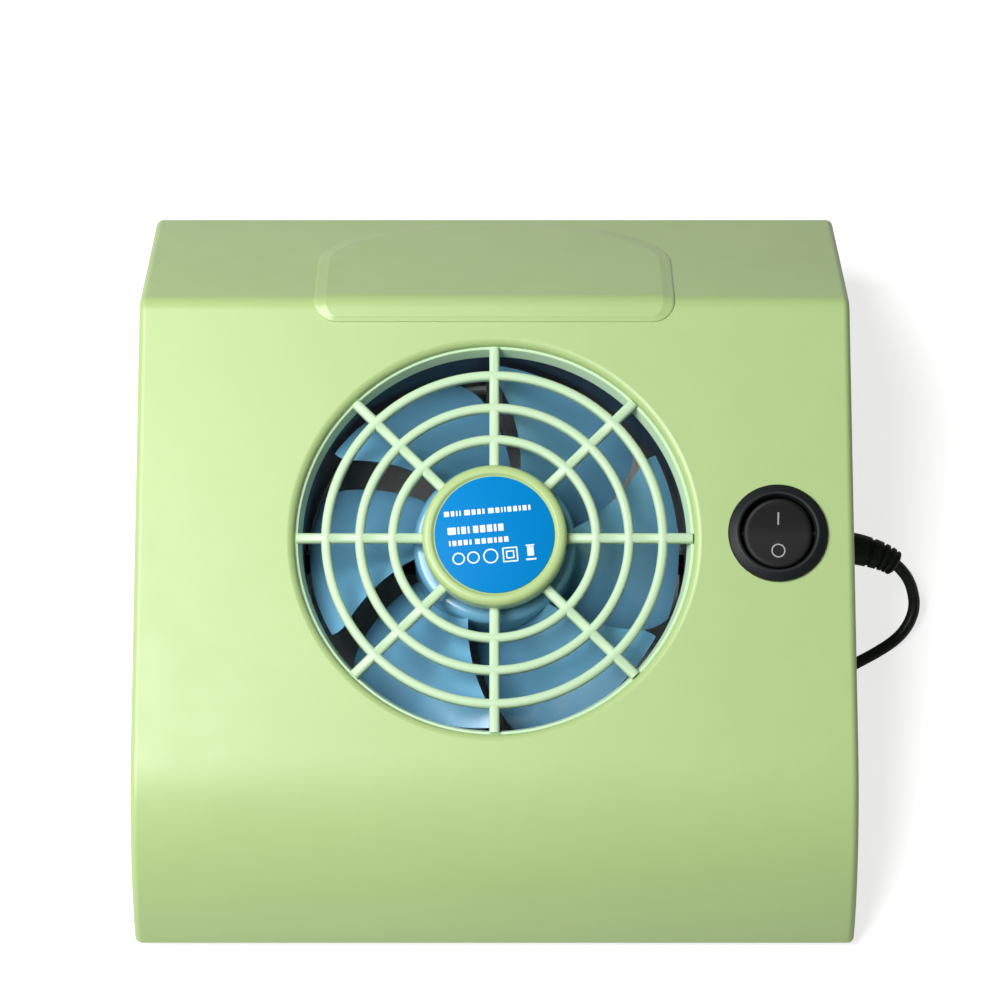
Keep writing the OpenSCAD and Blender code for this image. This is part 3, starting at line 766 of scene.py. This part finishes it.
def badge():
    """The raised pad, with a rim that slopes up to its plain middle. It wraps over the crest."""
    outline = badge_outline()
    bm = bmesh.new()
    rise = bm.verts.layers.float.new("rise")
    rings = []
    count = len(outline)
    for inset, height in BADGE_RIM:
        ring = []
        for i, (x, y) in enumerate(outline):
            before, after = Vector(outline[i - 1]), Vector(outline[(i + 1) % count])
            side = (after - before).normalized()
            inward = Vector((-side.y, side.x))
            if inward.dot(BADGE_MIDDLE - Vector((x, y))) < 0:
                inward = -inward
            if inward.y > 0:
                inward.y *= BADGE_FRONT_RIM
            q = Vector((x, y)) + inset * inward
            vertex = bm.verts.new((q.x, q.y, 0))
            vertex[rise] = height
            ring.append(vertex)
        rings.append(ring)
    for a, b in zip(rings, rings[1:]):
        for i in range(count):
            j = (i + 1) % count
            bm.faces.new((a[i], a[j], b[j], b[i]))
    bm.faces.new(rings[-1])
    for k in range(11):
        cut = (0, FACE_END + (CREST_END - FACE_END) * k / 10, 0)
        geometry = bm.verts[:] + bm.edges[:] + bm.faces[:]
        bmesh.ops.bisect_plane(bm, geom=geometry, plane_co=cut, plane_no=(0, 1, 0), dist=1e-4)
    low = bm.verts[:]
    result = bmesh.ops.extrude_face_region(bm, geom=bm.faces[:])
    high = [v for v in result["geom"] if isinstance(v, bmesh.types.BMVert)]
    for v in high:
        v.co.z = hood_top(v.co.y) + v[rise]
    for v in low:
        v.co.z = hood_top(v.co.y) - 1.0
    bmesh.ops.scale(bm, vec=(MM, MM, MM), verts=bm.verts)
    bmesh.ops.recalc_face_normals(bm, faces=bm.faces)
    return from_bmesh("badge", bm)


FOOT_X, FOOT_Y, POST_R, STEM_R = 74.5, 79.0, 6.5, 3.0
FAN_PITCH, FRAME_TOP, BOSS_R, SCREW_R = 82.5, -5.2, 4.2, 2.0
SLOTS, SLOT_W, SLOT_PITCH = 16, 2.6, 8.0
CUT_IN = 6.0  # how deep inside a wall a cut through it starts


def four(half_x, half_y):
    return [(sx * half_x, sy * half_y) for sx in (-1, 1) for sy in (-1, 1)]


def peg(name, x, y, r, low, high, matrix=WORLD, steps=48):
    return prism(name, [(x + px, y + py) for px, py in circle(r, steps)], low, high, matrix)


def make_shell():
    shell = hood("hood_shell", 0, FOOT_H, EDGE_R)
    combine(shell, badge(), "UNION")
    inside = hood("inside", WALL, FOOT_H - 5, 0.9)
    feet, screws = four(FOOT_X, FOOT_Y), four(FAN_PITCH / 2, FAN_PITCH / 2)
    posts = [peg("post", x, y, POST_R, FOOT_H, CREST_Z + 6) for x, y in feet]
    posts += [peg("boss", x, y, BOSS_R, FRAME_TOP, 6, FACE) for x, y in screws]
    combine(inside, joined("posts", posts), "DIFFERENCE")
    combine(shell, inside, "DIFFERENCE")
    lip = arc(INTAKE_R + LIP_R, -LIP_R, LIP_R, 180, 92, 8)
    cut = [(0, -9), (INTAKE_R, -9)] + lip + [(INTAKE_R + LIP_R - 0.02, 9), (0, 9)]
    combine(shell, lathe("intake_cut", cut, FACE, 160), "DIFFERENCE")
    combine(shell, peg("switch_cut", 0, 0, 10, -9, 9, SWITCH, 64), "DIFFERENCE")
    holes = [peg("screw_hole", x, y, SCREW_R, FRAME_TOP - 1, -0.9, FACE, 24) for x, y in screws]
    holes += [peg("stem_hole", x, y, STEM_R, FOOT_H - 1, FOOT_H + 5.5, WORLD, 32) for x, y in feet]
    slot = round_box(SLOT_W, 14, 1.29, 6)
    for i in range(SLOTS):
        x = (i - SLOTS / 2 + 0.5) * SLOT_PITCH
        at = axes(Vector((x, BODY_D / 2 - CUT_IN, 15)) * MM, X_AXIS, Z_AXIS, Y_AXIS)
        holes.append(prism("slot", slot, 0, 2 * CUT_IN, at))
    holes.append(prism("lead_hole", circle(3, 40), 0, 2 * CUT_IN, side_frame(CUT_IN)))
    combine(shell, joined("holes", holes), "DIFFERENCE")
    return finished(shell, "root", "housing", ("top_shell",), 28, True)


# --- grille and label ---


def make_grille():
    """Round bars between a rim under the face and a raised hub cap, moulded in one."""
    half = BAR_W / 2
    bar = fillet([(-half, BAR_LOW, 0.35), (half, BAR_LOW, 0.35), (half, BAR_TOP, 0.85),
                  (-half, BAR_TOP, 0.85)], 6)
    parts = [lathe("ring", [(r - half + x, n) for x, n in bar], FACE, 160) for r in RINGS]
    rim = [(INTAKE_R - 1.5, FRAME_TOP, 0), (INTAKE_R + 0.2, FRAME_TOP, 0),
           (INTAKE_R + 0.2, -3.4, 0.1), (INTAKE_R + 1.8, -3.4, 0.1), (INTAKE_R + 1.8, -WALL, 0),
           (INTAKE_R - 0.1, -WALL + 0.3, 0.1), (INTAKE_R - 0.6, -WALL + 0.3, 0.2)]
    parts.append(lathe("rim", fillet(rim, 3), FACE, 160))
    hub = [(0, HUB_TOP - 1.6, 0), (HUB_R - 1.5, HUB_TOP - 1.6, 0.4), (HUB_R - 1.5, BAR_LOW, 0.3),
           (HUB_R, BAR_LOW, 0.3), (HUB_R, HUB_TOP, 1.3), (14.6, HUB_TOP, 0.55),
           (14, HUB_TOP - 0.45, 0.1), (0, HUB_TOP - 0.45, 0)]
    parts.append(lathe("hub", fillet(hub, 6)))
    grille = joined("grille", parts)
    half, low, high = SPOKE_W / 2, BAR_LOW + 0.15, BAR_TOP - 0.08
    section = fillet([(-half, low, 0.35), (half, low, 0.35), (half, high, 0.9),
                      (-half, high, 0.9)], 6)
    ends = [[(u, v, n) for v, n in section] for u in (HUB_R - 0.6, INTAKE_R - 0.3)]
    spokes = [loft("spoke", ends, turned(FACE, i * 360 / SPOKES)) for i in range(SPOKES)]
    combine(grille, joined("spokes", spokes), "UNION")
    finished(grille, "root", "grille", ("intake_grille",), 32)
    # The hub cap has the housing's colour.
    grille.data.materials.append(FINISHES["housing"])
    face_from_world = FACE.inverted()
    for polygon in grille.data.polygons:
        p = face_from_world @ polygon.center / MM
        if math.hypot(p.x, p.y) < HUB_R + 0.2 and p.z > BAR_TOP:
            polygon.material_index = 1


LABEL_R, LABEL_TURN, LABEL_N = 13.8, 5.0, HUB_TOP - 0.20
# Rows of dashes on the label: place along the face, left end, height, and widths (0 for a gap).
DASHES = (
    (5.7, -11.2, 1.25, (1.2, 0.8, 0.35, 0.35, 0, 1.3, 0.9, 0.8, 0.5, 0, 1.3, 0.9, 0.35, 0.35,
                        0.9, 0.9, 0.5, 0.9, 0.5)),
    (1.6, -10.7, 1.7, (1.9, 0.45, 1.1, 0.45, 0, 1.2, 1.2, 1.2, 0.6, 1.2)),
    (-1.3, -10.6, 1.25, (0.4, 0.9, 0.9, 0.9, 0.5, 0, 1.1, 1.0, 1.1, 0.6, 0.9, 1.0)),
)


def make_label():
    """A blue film disc with white dashes and simple shapes in place of any wording."""
    film = [(0, LABEL_N - 0.22, 0), (LABEL_R, LABEL_N - 0.22, 0), (LABEL_R, LABEL_N, 0.06),
            (0, LABEL_N, 0)]
    disc = lathe("label_disc", fillet(film, 2))
    finished(disc, "root", "label", ("hub_label",))
    at = turned(FACE, LABEL_TURN)
    low, high = LABEL_N - 0.02, LABEL_N + 0.03
    marks = []

    def dash(name, x, s, w, h, r):
        outline = [(x + px, s + py) for px, py in round_box(w, h, r, 2)]
        marks.append(prism(name, outline, low, high, at))

    for s, x, h, widths in DASHES:
        for w in widths:
            if w:
                dash("dash", x + w / 2, s, w, h, 0.12)
            x += w + 0.4
    for x, r in ((-8.7, 1.45), (-5.3, 1.45), (-1.3, 1.75)):
        ring = [(r - 0.32, low), (r, low), (r, high), (r - 0.32, high)]
        centre = Matrix.Translation(Vector((x, -5.0, 0)) * MM)
        marks.append(lathe("round_mark", ring, at @ centre, 40))
    for side in (3.5, 1.9):
        outer, inner = round_box(side, side, 0.2, 2), round_box(side - 0.6, side - 0.6, 0.1, 2)
        rings = ((outer, low), (outer, high), (inner, high), (inner, low))
        square = [[(3.2 + px, -5.0 + py, n) for px, py in o] for o, n in rings]
        marks.append(loft("square_mark", square, at, closed_ring=True))
    for s, w, h in ((-6.5, 2.4, 0.4), (-4.6, 1.5, 2.2), (-3.2, 2.0, 0.35)):
        dash("bar_mark", 7.9, s, w, h, 0.1)
    finished(joined("label_marks", marks), "root", "label", look="print")


# --- fan ---

BLADES, BLADE_TIP, ROTOR_R = 6, 43.2, 19.0
BLADE_HIGH, BLADE_LOW, BLADE_SPAN = -6.9, -23.6, 54.5
GAP_AT_ROOT, GAP_SWEEP = 15.0, 0.87


def blade(index):
    """One swept blade: wide in plan, its leading edge high and towards the turning direction."""
    across, along = 22, 18
    root = ROTOR_R - 0.8
    top, bottom = [], []
    for j in range(along + 1):
        v = j / along
        r = root + (BLADE_TIP - root) * v
        middle = GAP_AT_ROOT + GAP_SWEEP * (r - 20) + 30 + index * 360 / BLADES
        tip = max(0.0, (v - 0.82) / 0.18) ** 2
        span = BLADE_SPAN * (1 - 0.10 * tip)
        for i in range(across + 1):
            u = i / across
            a = middle + span * (0.5 - u)
            bow = max(0.0, sin(180 * u))
            fall = u + 0.07 * bow
            n = BLADE_HIGH + (BLADE_LOW - BLADE_HIGH) * fall - 1.2 * v * (1 - u) ** 2
            half = 0.72 * (0.35 + 0.65 * bow ** 0.6) * (1 - 0.3 * v)
            top.append((r * cos(a), r * sin(a), n + half))
            bottom.append((r * cos(a), r * sin(a), n - half))
    w = across + 1
    count = len(top)
    faces = []
    for j in range(along):
        for k in range(j * w, j * w + across):
            faces.append([k, k + 1, k + w + 1, k + w])
            faces.append([count + k, count + k + w, count + k + w + 1, count + k + 1])
    edge = list(range(w)) + [j * w + across for j in range(1, along + 1)]
    edge += [along * w + i for i in reversed(range(across))]
    edge += [j * w for j in reversed(range(1, along))]
    for a, b in zip(edge, edge[1:] + edge[:1]):
        faces.append([a, count + a, count + b, b])
    return mesh_object("blade", top + bottom, faces, FACE)


def make_impeller():
    hub = [(0, -7.4, 0), (17.6, -7.4, 0.6), (17.6, -24, 0.2), (ROTOR_R, -24, 0.3),
           (ROTOR_R, -6.0, 1.8), (12.5, -6.0, 0.5), (12.0, -6.35, 0.3), (0, -6.35, 0)]
    wheel = lathe("fan_wheel", fillet(hub, 6), FACE, 96)
    combine(wheel, joined("blades", [blade(i) for i in range(BLADES)]), "UNION")
    finished(wheel, "rotor", "impeller", ("impeller",), 40)


# --- switch ---


def make_switch():
    bezel = [(9.9, -14, 0.4), (9.9, 0, 0), (11.5, 0, 0.15), (11.5, 0.75, 0.5), (9.55, 1.8, 0.5),
             (8.95, 1.75, 0.3), (8.6, 0.7, 0.3), (8.6, -12.6, 0.3), (0, -12.6, 0), (0, -14, 0)]
    body = [lathe("switch_bezel", fillet(bezel, 5), SWITCH, 112)]
    for side in (-1, 1):
        clip = [(side * 10.3 + x, y) for x, y in round_box(1.2, 4, 0.25, 3)]
        body.append(prism("clip", clip, -5.4, -2.3, SWITCH))
    finished(joined("switch_body", body), "root", "switch_body", ("switch_housing",), 26)


ROCKER_R, BAR_MARK_S, RING_MARK_S = 8.0, 3.5, -3.9


def rocker_height(s):
    """Height of the rocker's top: a soft valley across the middle, rising to both ends."""
    return 2.2 + 1.4 * (math.hypot(s, 3) - 3) / 5.544


def make_rocker():
    steps = 72
    levels = [(r, 0.0) for r in (1.0, 2.0, 3.2, 4.4, 5.6, 6.6, 7.2)]
    levels += [(7.2 + 0.8 * sin(a), 0.8 * (1 - cos(a))) for a in (22.5, 45, 67.5, 90)]
    points = [(0, 0, rocker_height(0))]
    for r, drop in levels:
        points += [(x, s, rocker_height(s) - drop) for x, s in circle(r, steps)]
    points += [(x, s, -2) for x, s in circle(ROCKER_R, steps)]
    faces = [[0, 1 + k, 1 + (k + 1) % steps] for k in range(steps)]
    last = 1 + len(levels) * steps
    for a in range(1, last, steps):
        b = a + steps
        faces += [[a + k, b + k, b + (k + 1) % steps, a + (k + 1) % steps] for k in range(steps)]
    faces.append([last + k for k in range(steps)])
    cap = mesh_object("cap", points, faces, ROCKER)
    stem = lathe("stem", [(1.4, -7), (2.3, -7), (2.3, -1.9), (1.4, -1.9)], ROCKER, 32)
    axle = peg("axle", 0, 0, 1.0, -9.25, 9.25, turned(ROCKER, 90, "Y"), 24)
    finished(joined("rocker_cap", [cap, stem, axle]), "rocker", "rocker", ("rocker",), 32)
    sunk, proud = -0.03, 0.02

    def on_top(x, s, lift):
        return x, s, rocker_height(s) + lift

    bar = round_box(0.38, 2.9, 0.1, 2)
    bar = [[on_top(x, BAR_MARK_S + s, lift) for x, s in bar] for lift in (sunk, proud)]
    finished(loft("rocker_bar_mark", bar, ROCKER), "rocker", "rocker", look="mark")
    corners = ((1.32, sunk), (1.62, sunk), (1.62, proud), (1.32, proud))
    ring = [[on_top(r * cos(a), RING_MARK_S + r * sin(a), lift) for r, lift in corners]
            for a in range(0, 360, 9)]
    ring = loft("rocker_ring_mark", ring, ROCKER, closed_ring=True)
    finished(ring, "rocker", "rocker", look="mark")


# --- wires under the face ---


def make_wires():
    split = Vector((69.6, 5.3, 17))
    inner = [(79.3, 6.5, 15), (76, 6.5, 15.2), (72.6, 6.1, 16), split]
    along = 2.4 * (split - Vector(inner[2])).normalized()
    up, rise = 0.68 * Z_AXIS, 0.4 * Z_AXIS
    blade_end = -23.0
    common = [on_face(SWITCH_X, SWITCH_S, n) for n in (blade_end - 5, blade_end)]
    load = [on_face(SWITCH_X, SWITCH_S - 5.5, n) for n in (blade_end, blade_end - 5)]

    def to_fan(s):
        in_slot = [on_face(x, s, -25.95) for x in (50, 46, 18)]
        return in_slot + [on_face(13.5, s, -26.3)]

    supply = [split + up, split + up + along + rise, (66.6, 1.6, 19.6), *common]
    fan_red = [*load, (63.6, -7, 18.6), (60, -6.3, 17.6), (55, -5, 19.6), *to_fan(-0.85)]
    black = [split - up, split - up + along - rise, (63, 2.8, 16.2), (56, 0.6, 18.6),
             *to_fan(0.85)]
    for name, slot, node, r, points in (
        ("lead_inside", "cable", "inner_lead", CORD_R, inner),
        ("supply_wire", "wire_red", "wire_red_supply", WIRE_R, supply),
        ("fan_wire_red", "wire_red", "wire_red_fan", WIRE_R, fan_red),
        ("fan_wire_black", "wire_black", "wire_black", WIRE_R, black),
    ):
        finished(tube(name, smooth_path(points, 8), r, 14), "root", slot, (node,), 50)


# --- dust bag ---

SLEEVE_R, HEM_N = 46.2, -33.6
SLEEVE_N = (-31.9, -33.0, -34.4, -35.9)
BAG_COLUMNS = 120
SLEEVE_ROWS, TOP_ROWS, SIDE_ROWS, FLOOR_ROWS = len(SLEEVE_N), 14, 6, 15
MOST_MOVE = 6.0  # how far the simulation may carry a point
PUCKERS = 40  # round the gathered mouth
BAG_CENTRE = Vector((-6, 18))
BAG_PLAN = [(48.0, 8), (36.5, 34), (36.5, 68), (29, 77.3), (-60, 77.3), (-69, 68), (-69, 36),
            (-48.0, 8), (-48.0, -12), (-41.5, -29.5), (-28, -41.5), (-12, -47), (12, -47),
            (28, -41.5), (41.5, -29.5), (48.0, -12)]
BAG_TOP = [(-47, 2.4), (-44.8, 2.6), (45.4, 26.4), (60, 26.6), (71, 23.5), (77, 14)]


def bag_top(y):
    """Height of the bag's top panel, which follows the collar's end and drops at the rear."""
    if y <= BAG_TOP[0][0]:
        return BAG_TOP[0][1]
    for (y0, z0), (y1, z1) in zip(BAG_TOP, BAG_TOP[1:]):
        if y <= y1:
            return z0 + (z1 - z0) * (y - y0) / (y1 - y0)
    return BAG_TOP[-1][1]


def plan_edge(a):
    """Where a ray from the middle of the collar, at that angle, leaves the plan of the bag."""
    d = Vector((cos(a), sin(a)))
    for (x0, y0), (x1, y1) in zip(BAG_PLAN, BAG_PLAN[1:] + BAG_PLAN[:1]):
        p, e = Vector((x0, y0)), Vector((x1 - x0, y1 - y0))
        cross = d.x * e.y - d.y * e.x
        if abs(cross) < 1e-9:
            continue
        t = (p.x * e.y - p.y * e.x) / cross
        u = (p.x * d.y - p.y * d.x) / cross
        if t > 0 and -1e-6 <= u <= 1 + 1e-6:
            return d * t
    return d * BAG_PLAN[0][0]


def bag_rows():
    """Rings of the pouch from its mouth, out over the top, down the side and in below."""
    columns = []
    for k in range(BAG_COLUMNS):
        a = 360 * k / BAG_COLUMNS
        edge = plan_edge(a)
        column = [on_face(SLEEVE_R * cos(a), SLEEVE_R * sin(a), n) for n in SLEEVE_N]
        start = column[-1]
        low = 0.6
        high = max(bag_top(edge.y) - 0.8, low + 1.0)
        for i in range(1, TOP_ROWS + 1):
            t = i / TOP_ROWS
            x, y = start.x + (edge.x - start.x) * t, start.y + (edge.y - start.y) * t
            column.append(Vector((x, y, start.z + (high - start.z) * t ** 1.5)))
        for i in range(1, SIDE_ROWS + 1):
            t = i / SIDE_ROWS
            swell = 1 + 0.012 * sin(180 * t)
            column.append(Vector((edge.x * swell, edge.y * swell, high + (low - high) * t)))
        for i in range(1, FLOOR_ROWS + 1):
            p = edge.lerp(BAG_CENTRE, i / FLOOR_ROWS * 0.985)
            column.append(Vector((p.x, p.y, low)))
        columns.append(column)
    return [list(row) for row in zip(*columns)]


def relaxed(rows, rounds):
    """Evens out the rings, the mouth held still, so that folds and corners are soft."""
    for _ in range(rounds):
        new = [list(r) for r in rows]
        for i in range(SLEEVE_ROWS, len(rows)):
            for k in range(BAG_COLUMNS):
                sides = rows[i][k - 1] + rows[i][(k + 1) % BAG_COLUMNS]
                along = rows[i - 1][k] + rows[min(i + 1, len(rows) - 1)][k]
                new[i][k] = rows[i][k] * 0.4 + (sides + along) * 0.15
        rows = new
    return rows


def in_bag_space(p):
    """The point, brought back inside the room that the bag has under the hood."""
    x, y, z = p
    a = math.degrees(math.atan2(y, x))
    reach = plan_edge(a).length + 0.4
    r = math.hypot(x, y)
    if r > reach:
        x, y = x * reach / r, y * reach / r
    z = min(max(z, 0.35), bag_top(y) + 0.3)
    return Vector((x, y, z))


def settle(obj, held, frames=24):
    """Lets the cloth, cut a little large, fall and crease under its own weight."""
    group = obj.vertex_groups.new(name="held")
    group.add(held, 1.0, "REPLACE")
    slack = obj.vertex_groups.new(name="slack")
    for v in obj.data.vertices:
        inner = (len(obj.data.vertices) - 1 - v.index) // BAG_COLUMNS
        slack.add([v.index], min(1.0, max(0.0, (inner - 4) / 5)), "REPLACE")
    cloth = obj.modifiers.new("cloth", "CLOTH")
    set_all(cloth.settings, quality=6, mass=0.08, tension_stiffness=12, compression_stiffness=12,
            shear_stiffness=6, bending_stiffness=0.06, air_damping=2.0,
            vertex_group_shrink="slack", shrink_min=0.0, shrink_max=-0.075,
            vertex_group_mass="held", use_pressure=True, uniform_pressure_force=0.35)
    cloth.settings.effector_weights.gravity = 0.5
    set_all(cloth.collision_settings, use_collision=True, distance_min=0.0006,
            use_self_collision=False)
    table = prism("table", round_box(300, 300, 0), -10, 0)
    table.modifiers.new("table", "COLLISION")
    table.collision.thickness_outer = 0.0003
    scene = bpy.context.scene
    cloth.point_cache.frame_end = frames
    for f in range(1, frames + 1):
        scene.frame_set(f)
    apply_modifiers(obj)
    scene.frame_set(1)
    bpy.data.objects.remove(table)


def make_bag():
    """A sewn pouch of thin cloth, its mouth gathered on the fan's collar, lying on the table."""
    rows = relaxed(bag_rows(), 6)
    bag = loft("cloth_bag", rows, open_start=True)
    sleeve = SLEEVE_ROWS * BAG_COLUMNS
    settle(bag, list(range(sleeve)))
    start = [p for row in rows for p in row]
    for v, p in zip(bag.data.vertices, start):
        move = v.co / MM - p
        if move.length > MOST_MOVE:
            move *= MOST_MOVE / move.length
        if v.index >= sleeve:
            v.co = in_bag_space(p + move) * MM
    normals = [v.normal.copy() for v in bag.data.vertices]
    for v, n in zip(bag.data.vertices, normals):
        row, k = divmod(v.index, BAG_COLUMNS)
        pleat = 0.30 * sin(PUCKERS * 360 * k / BAG_COLUMNS) * math.exp(-max(0, row - 2) / 3.0)
        v.co += n * pleat * MM
    apply_with(bag, "SUBSURF", levels=1, render_levels=1)
    seam = make_seam(bag)
    apply_with(bag, "SOLIDIFY", thickness=0.35 * MM, offset=-1.0)
    finished(bag, "root", "bag_cloth", ("dust_bag",), 60)
    hem = make_hem()


def make_seam(bag):
    """The overlocked edge where the bag's top and bottom are sewn together."""
    first = (SLEEVE_ROWS + TOP_ROWS + SIDE_ROWS // 2 - 1) * BAG_COLUMNS
    ring = [bag.data.vertices[first + k].co / MM for k in range(BAG_COLUMNS)]
    ring = smooth_path(ring + ring[:1], 4)[:-1]
    sections = []
    for i, p in enumerate(ring):
        d = (ring[(i + 1) % len(ring)] - ring[i - 1]).normalized()
        out = Vector((d.y, -d.x, 0)).normalized()
        wave = 0.25 * math.sin(i * 0.9)
        p = p + Z_AXIS * wave * 0.4 - out * 0.6
        stitch = ((0, -0.35), (1.2, -0.42), (1.6 + wave * 0.3, 0), (1.2, 0.42), (0, 0.35))
        sections.append([p + out * a + Z_AXIS * b for a, b in stitch])
    seam = loft("bag_seam", sections, closed_ring=True)
    return finished(seam, "root", "bag_cloth", (), 60, look="bag_seam")


def make_hem():
    """The elastic in its hem, gathered into small puckers round the collar."""
    sections = []
    for k in range(240):
        a = 1.5 * k
        ripple = sin(PUCKERS * a)
        ring = [(47.0 + 0.12 * ripple + x, HEM_N + y)
                for x, y in circle(0.92 + 0.14 * ripple, 12)]
        sections.append([(r * cos(a), r * sin(a), n) for r, n in ring])
    hem = loft("bag_hem", sections, FACE, closed_ring=True)
    return finished(hem, "root", "elastic", ("bag_elastic",), 60)


# --- pieces that keep their CAD shape ---

# Each node's finish, and the width in millimetres of its rounded edges.
KEPT = {
    "fan_frame": ("fan_frame", 0.35), "fan_bearing": ("bearing", 0.15),
    "stator_core": ("core_steel", 0.12), "stator_windings": ("windings", 0.5),
    "fan_pcb": ("circuit_board", 0.1), "rotor_cup": ("rotor_steel", 0.2),
    "rotor_magnet": ("magnet", 0.2), "rotor_shaft": ("steel", 0.2),
    "shaft_clip": ("clip_plastic", 0.1), "fan_screws": ("steel", 0.18),
    "outlet_collar": ("collar", 0.25), "plunger": ("clip_plastic", 0.1),
    "plunger_spring": ("steel", 0.0), "contact_lever": ("copper", 0.1),
    "terminal_common": ("terminal", 0.1), "terminal_load": ("terminal", 0.1),
    "usb_plug_shell": ("plug_steel", 0.08), "usb_plug_tongue": ("plug_insulator", 0.15),
    "usb_plug_contacts": ("contacts", 0.04), "heat_shrinks": ("wire_black", 0.2),
    "foot_front_left": ("foot", 0.5), "foot_front_right": ("foot", 0.5),
    "foot_rear_left": ("foot", 0.5), "foot_rear_right": ("foot", 0.5),
}


def dress_kept_nodes():
    for node, (finish, width) in KEPT.items():
        obj = frame["nodes"][node]
        obj.data.materials.clear()
        obj.data.materials.append(FINISHES[finish])
        obj.modifiers.new("weld", "WELD").merge_threshold = 0.003 * MM
        if width:
            bevel(obj, width)


# --- the whole object ---

make_camera()
lead = make_lead()
boot = make_boot()
tie = make_tie()
plug = make_plug()
make_shell()
make_grille()
make_label()
make_impeller()
make_switch()
make_rocker()
make_wires()
make_bag()
dress_kept_nodes()
make_stage()
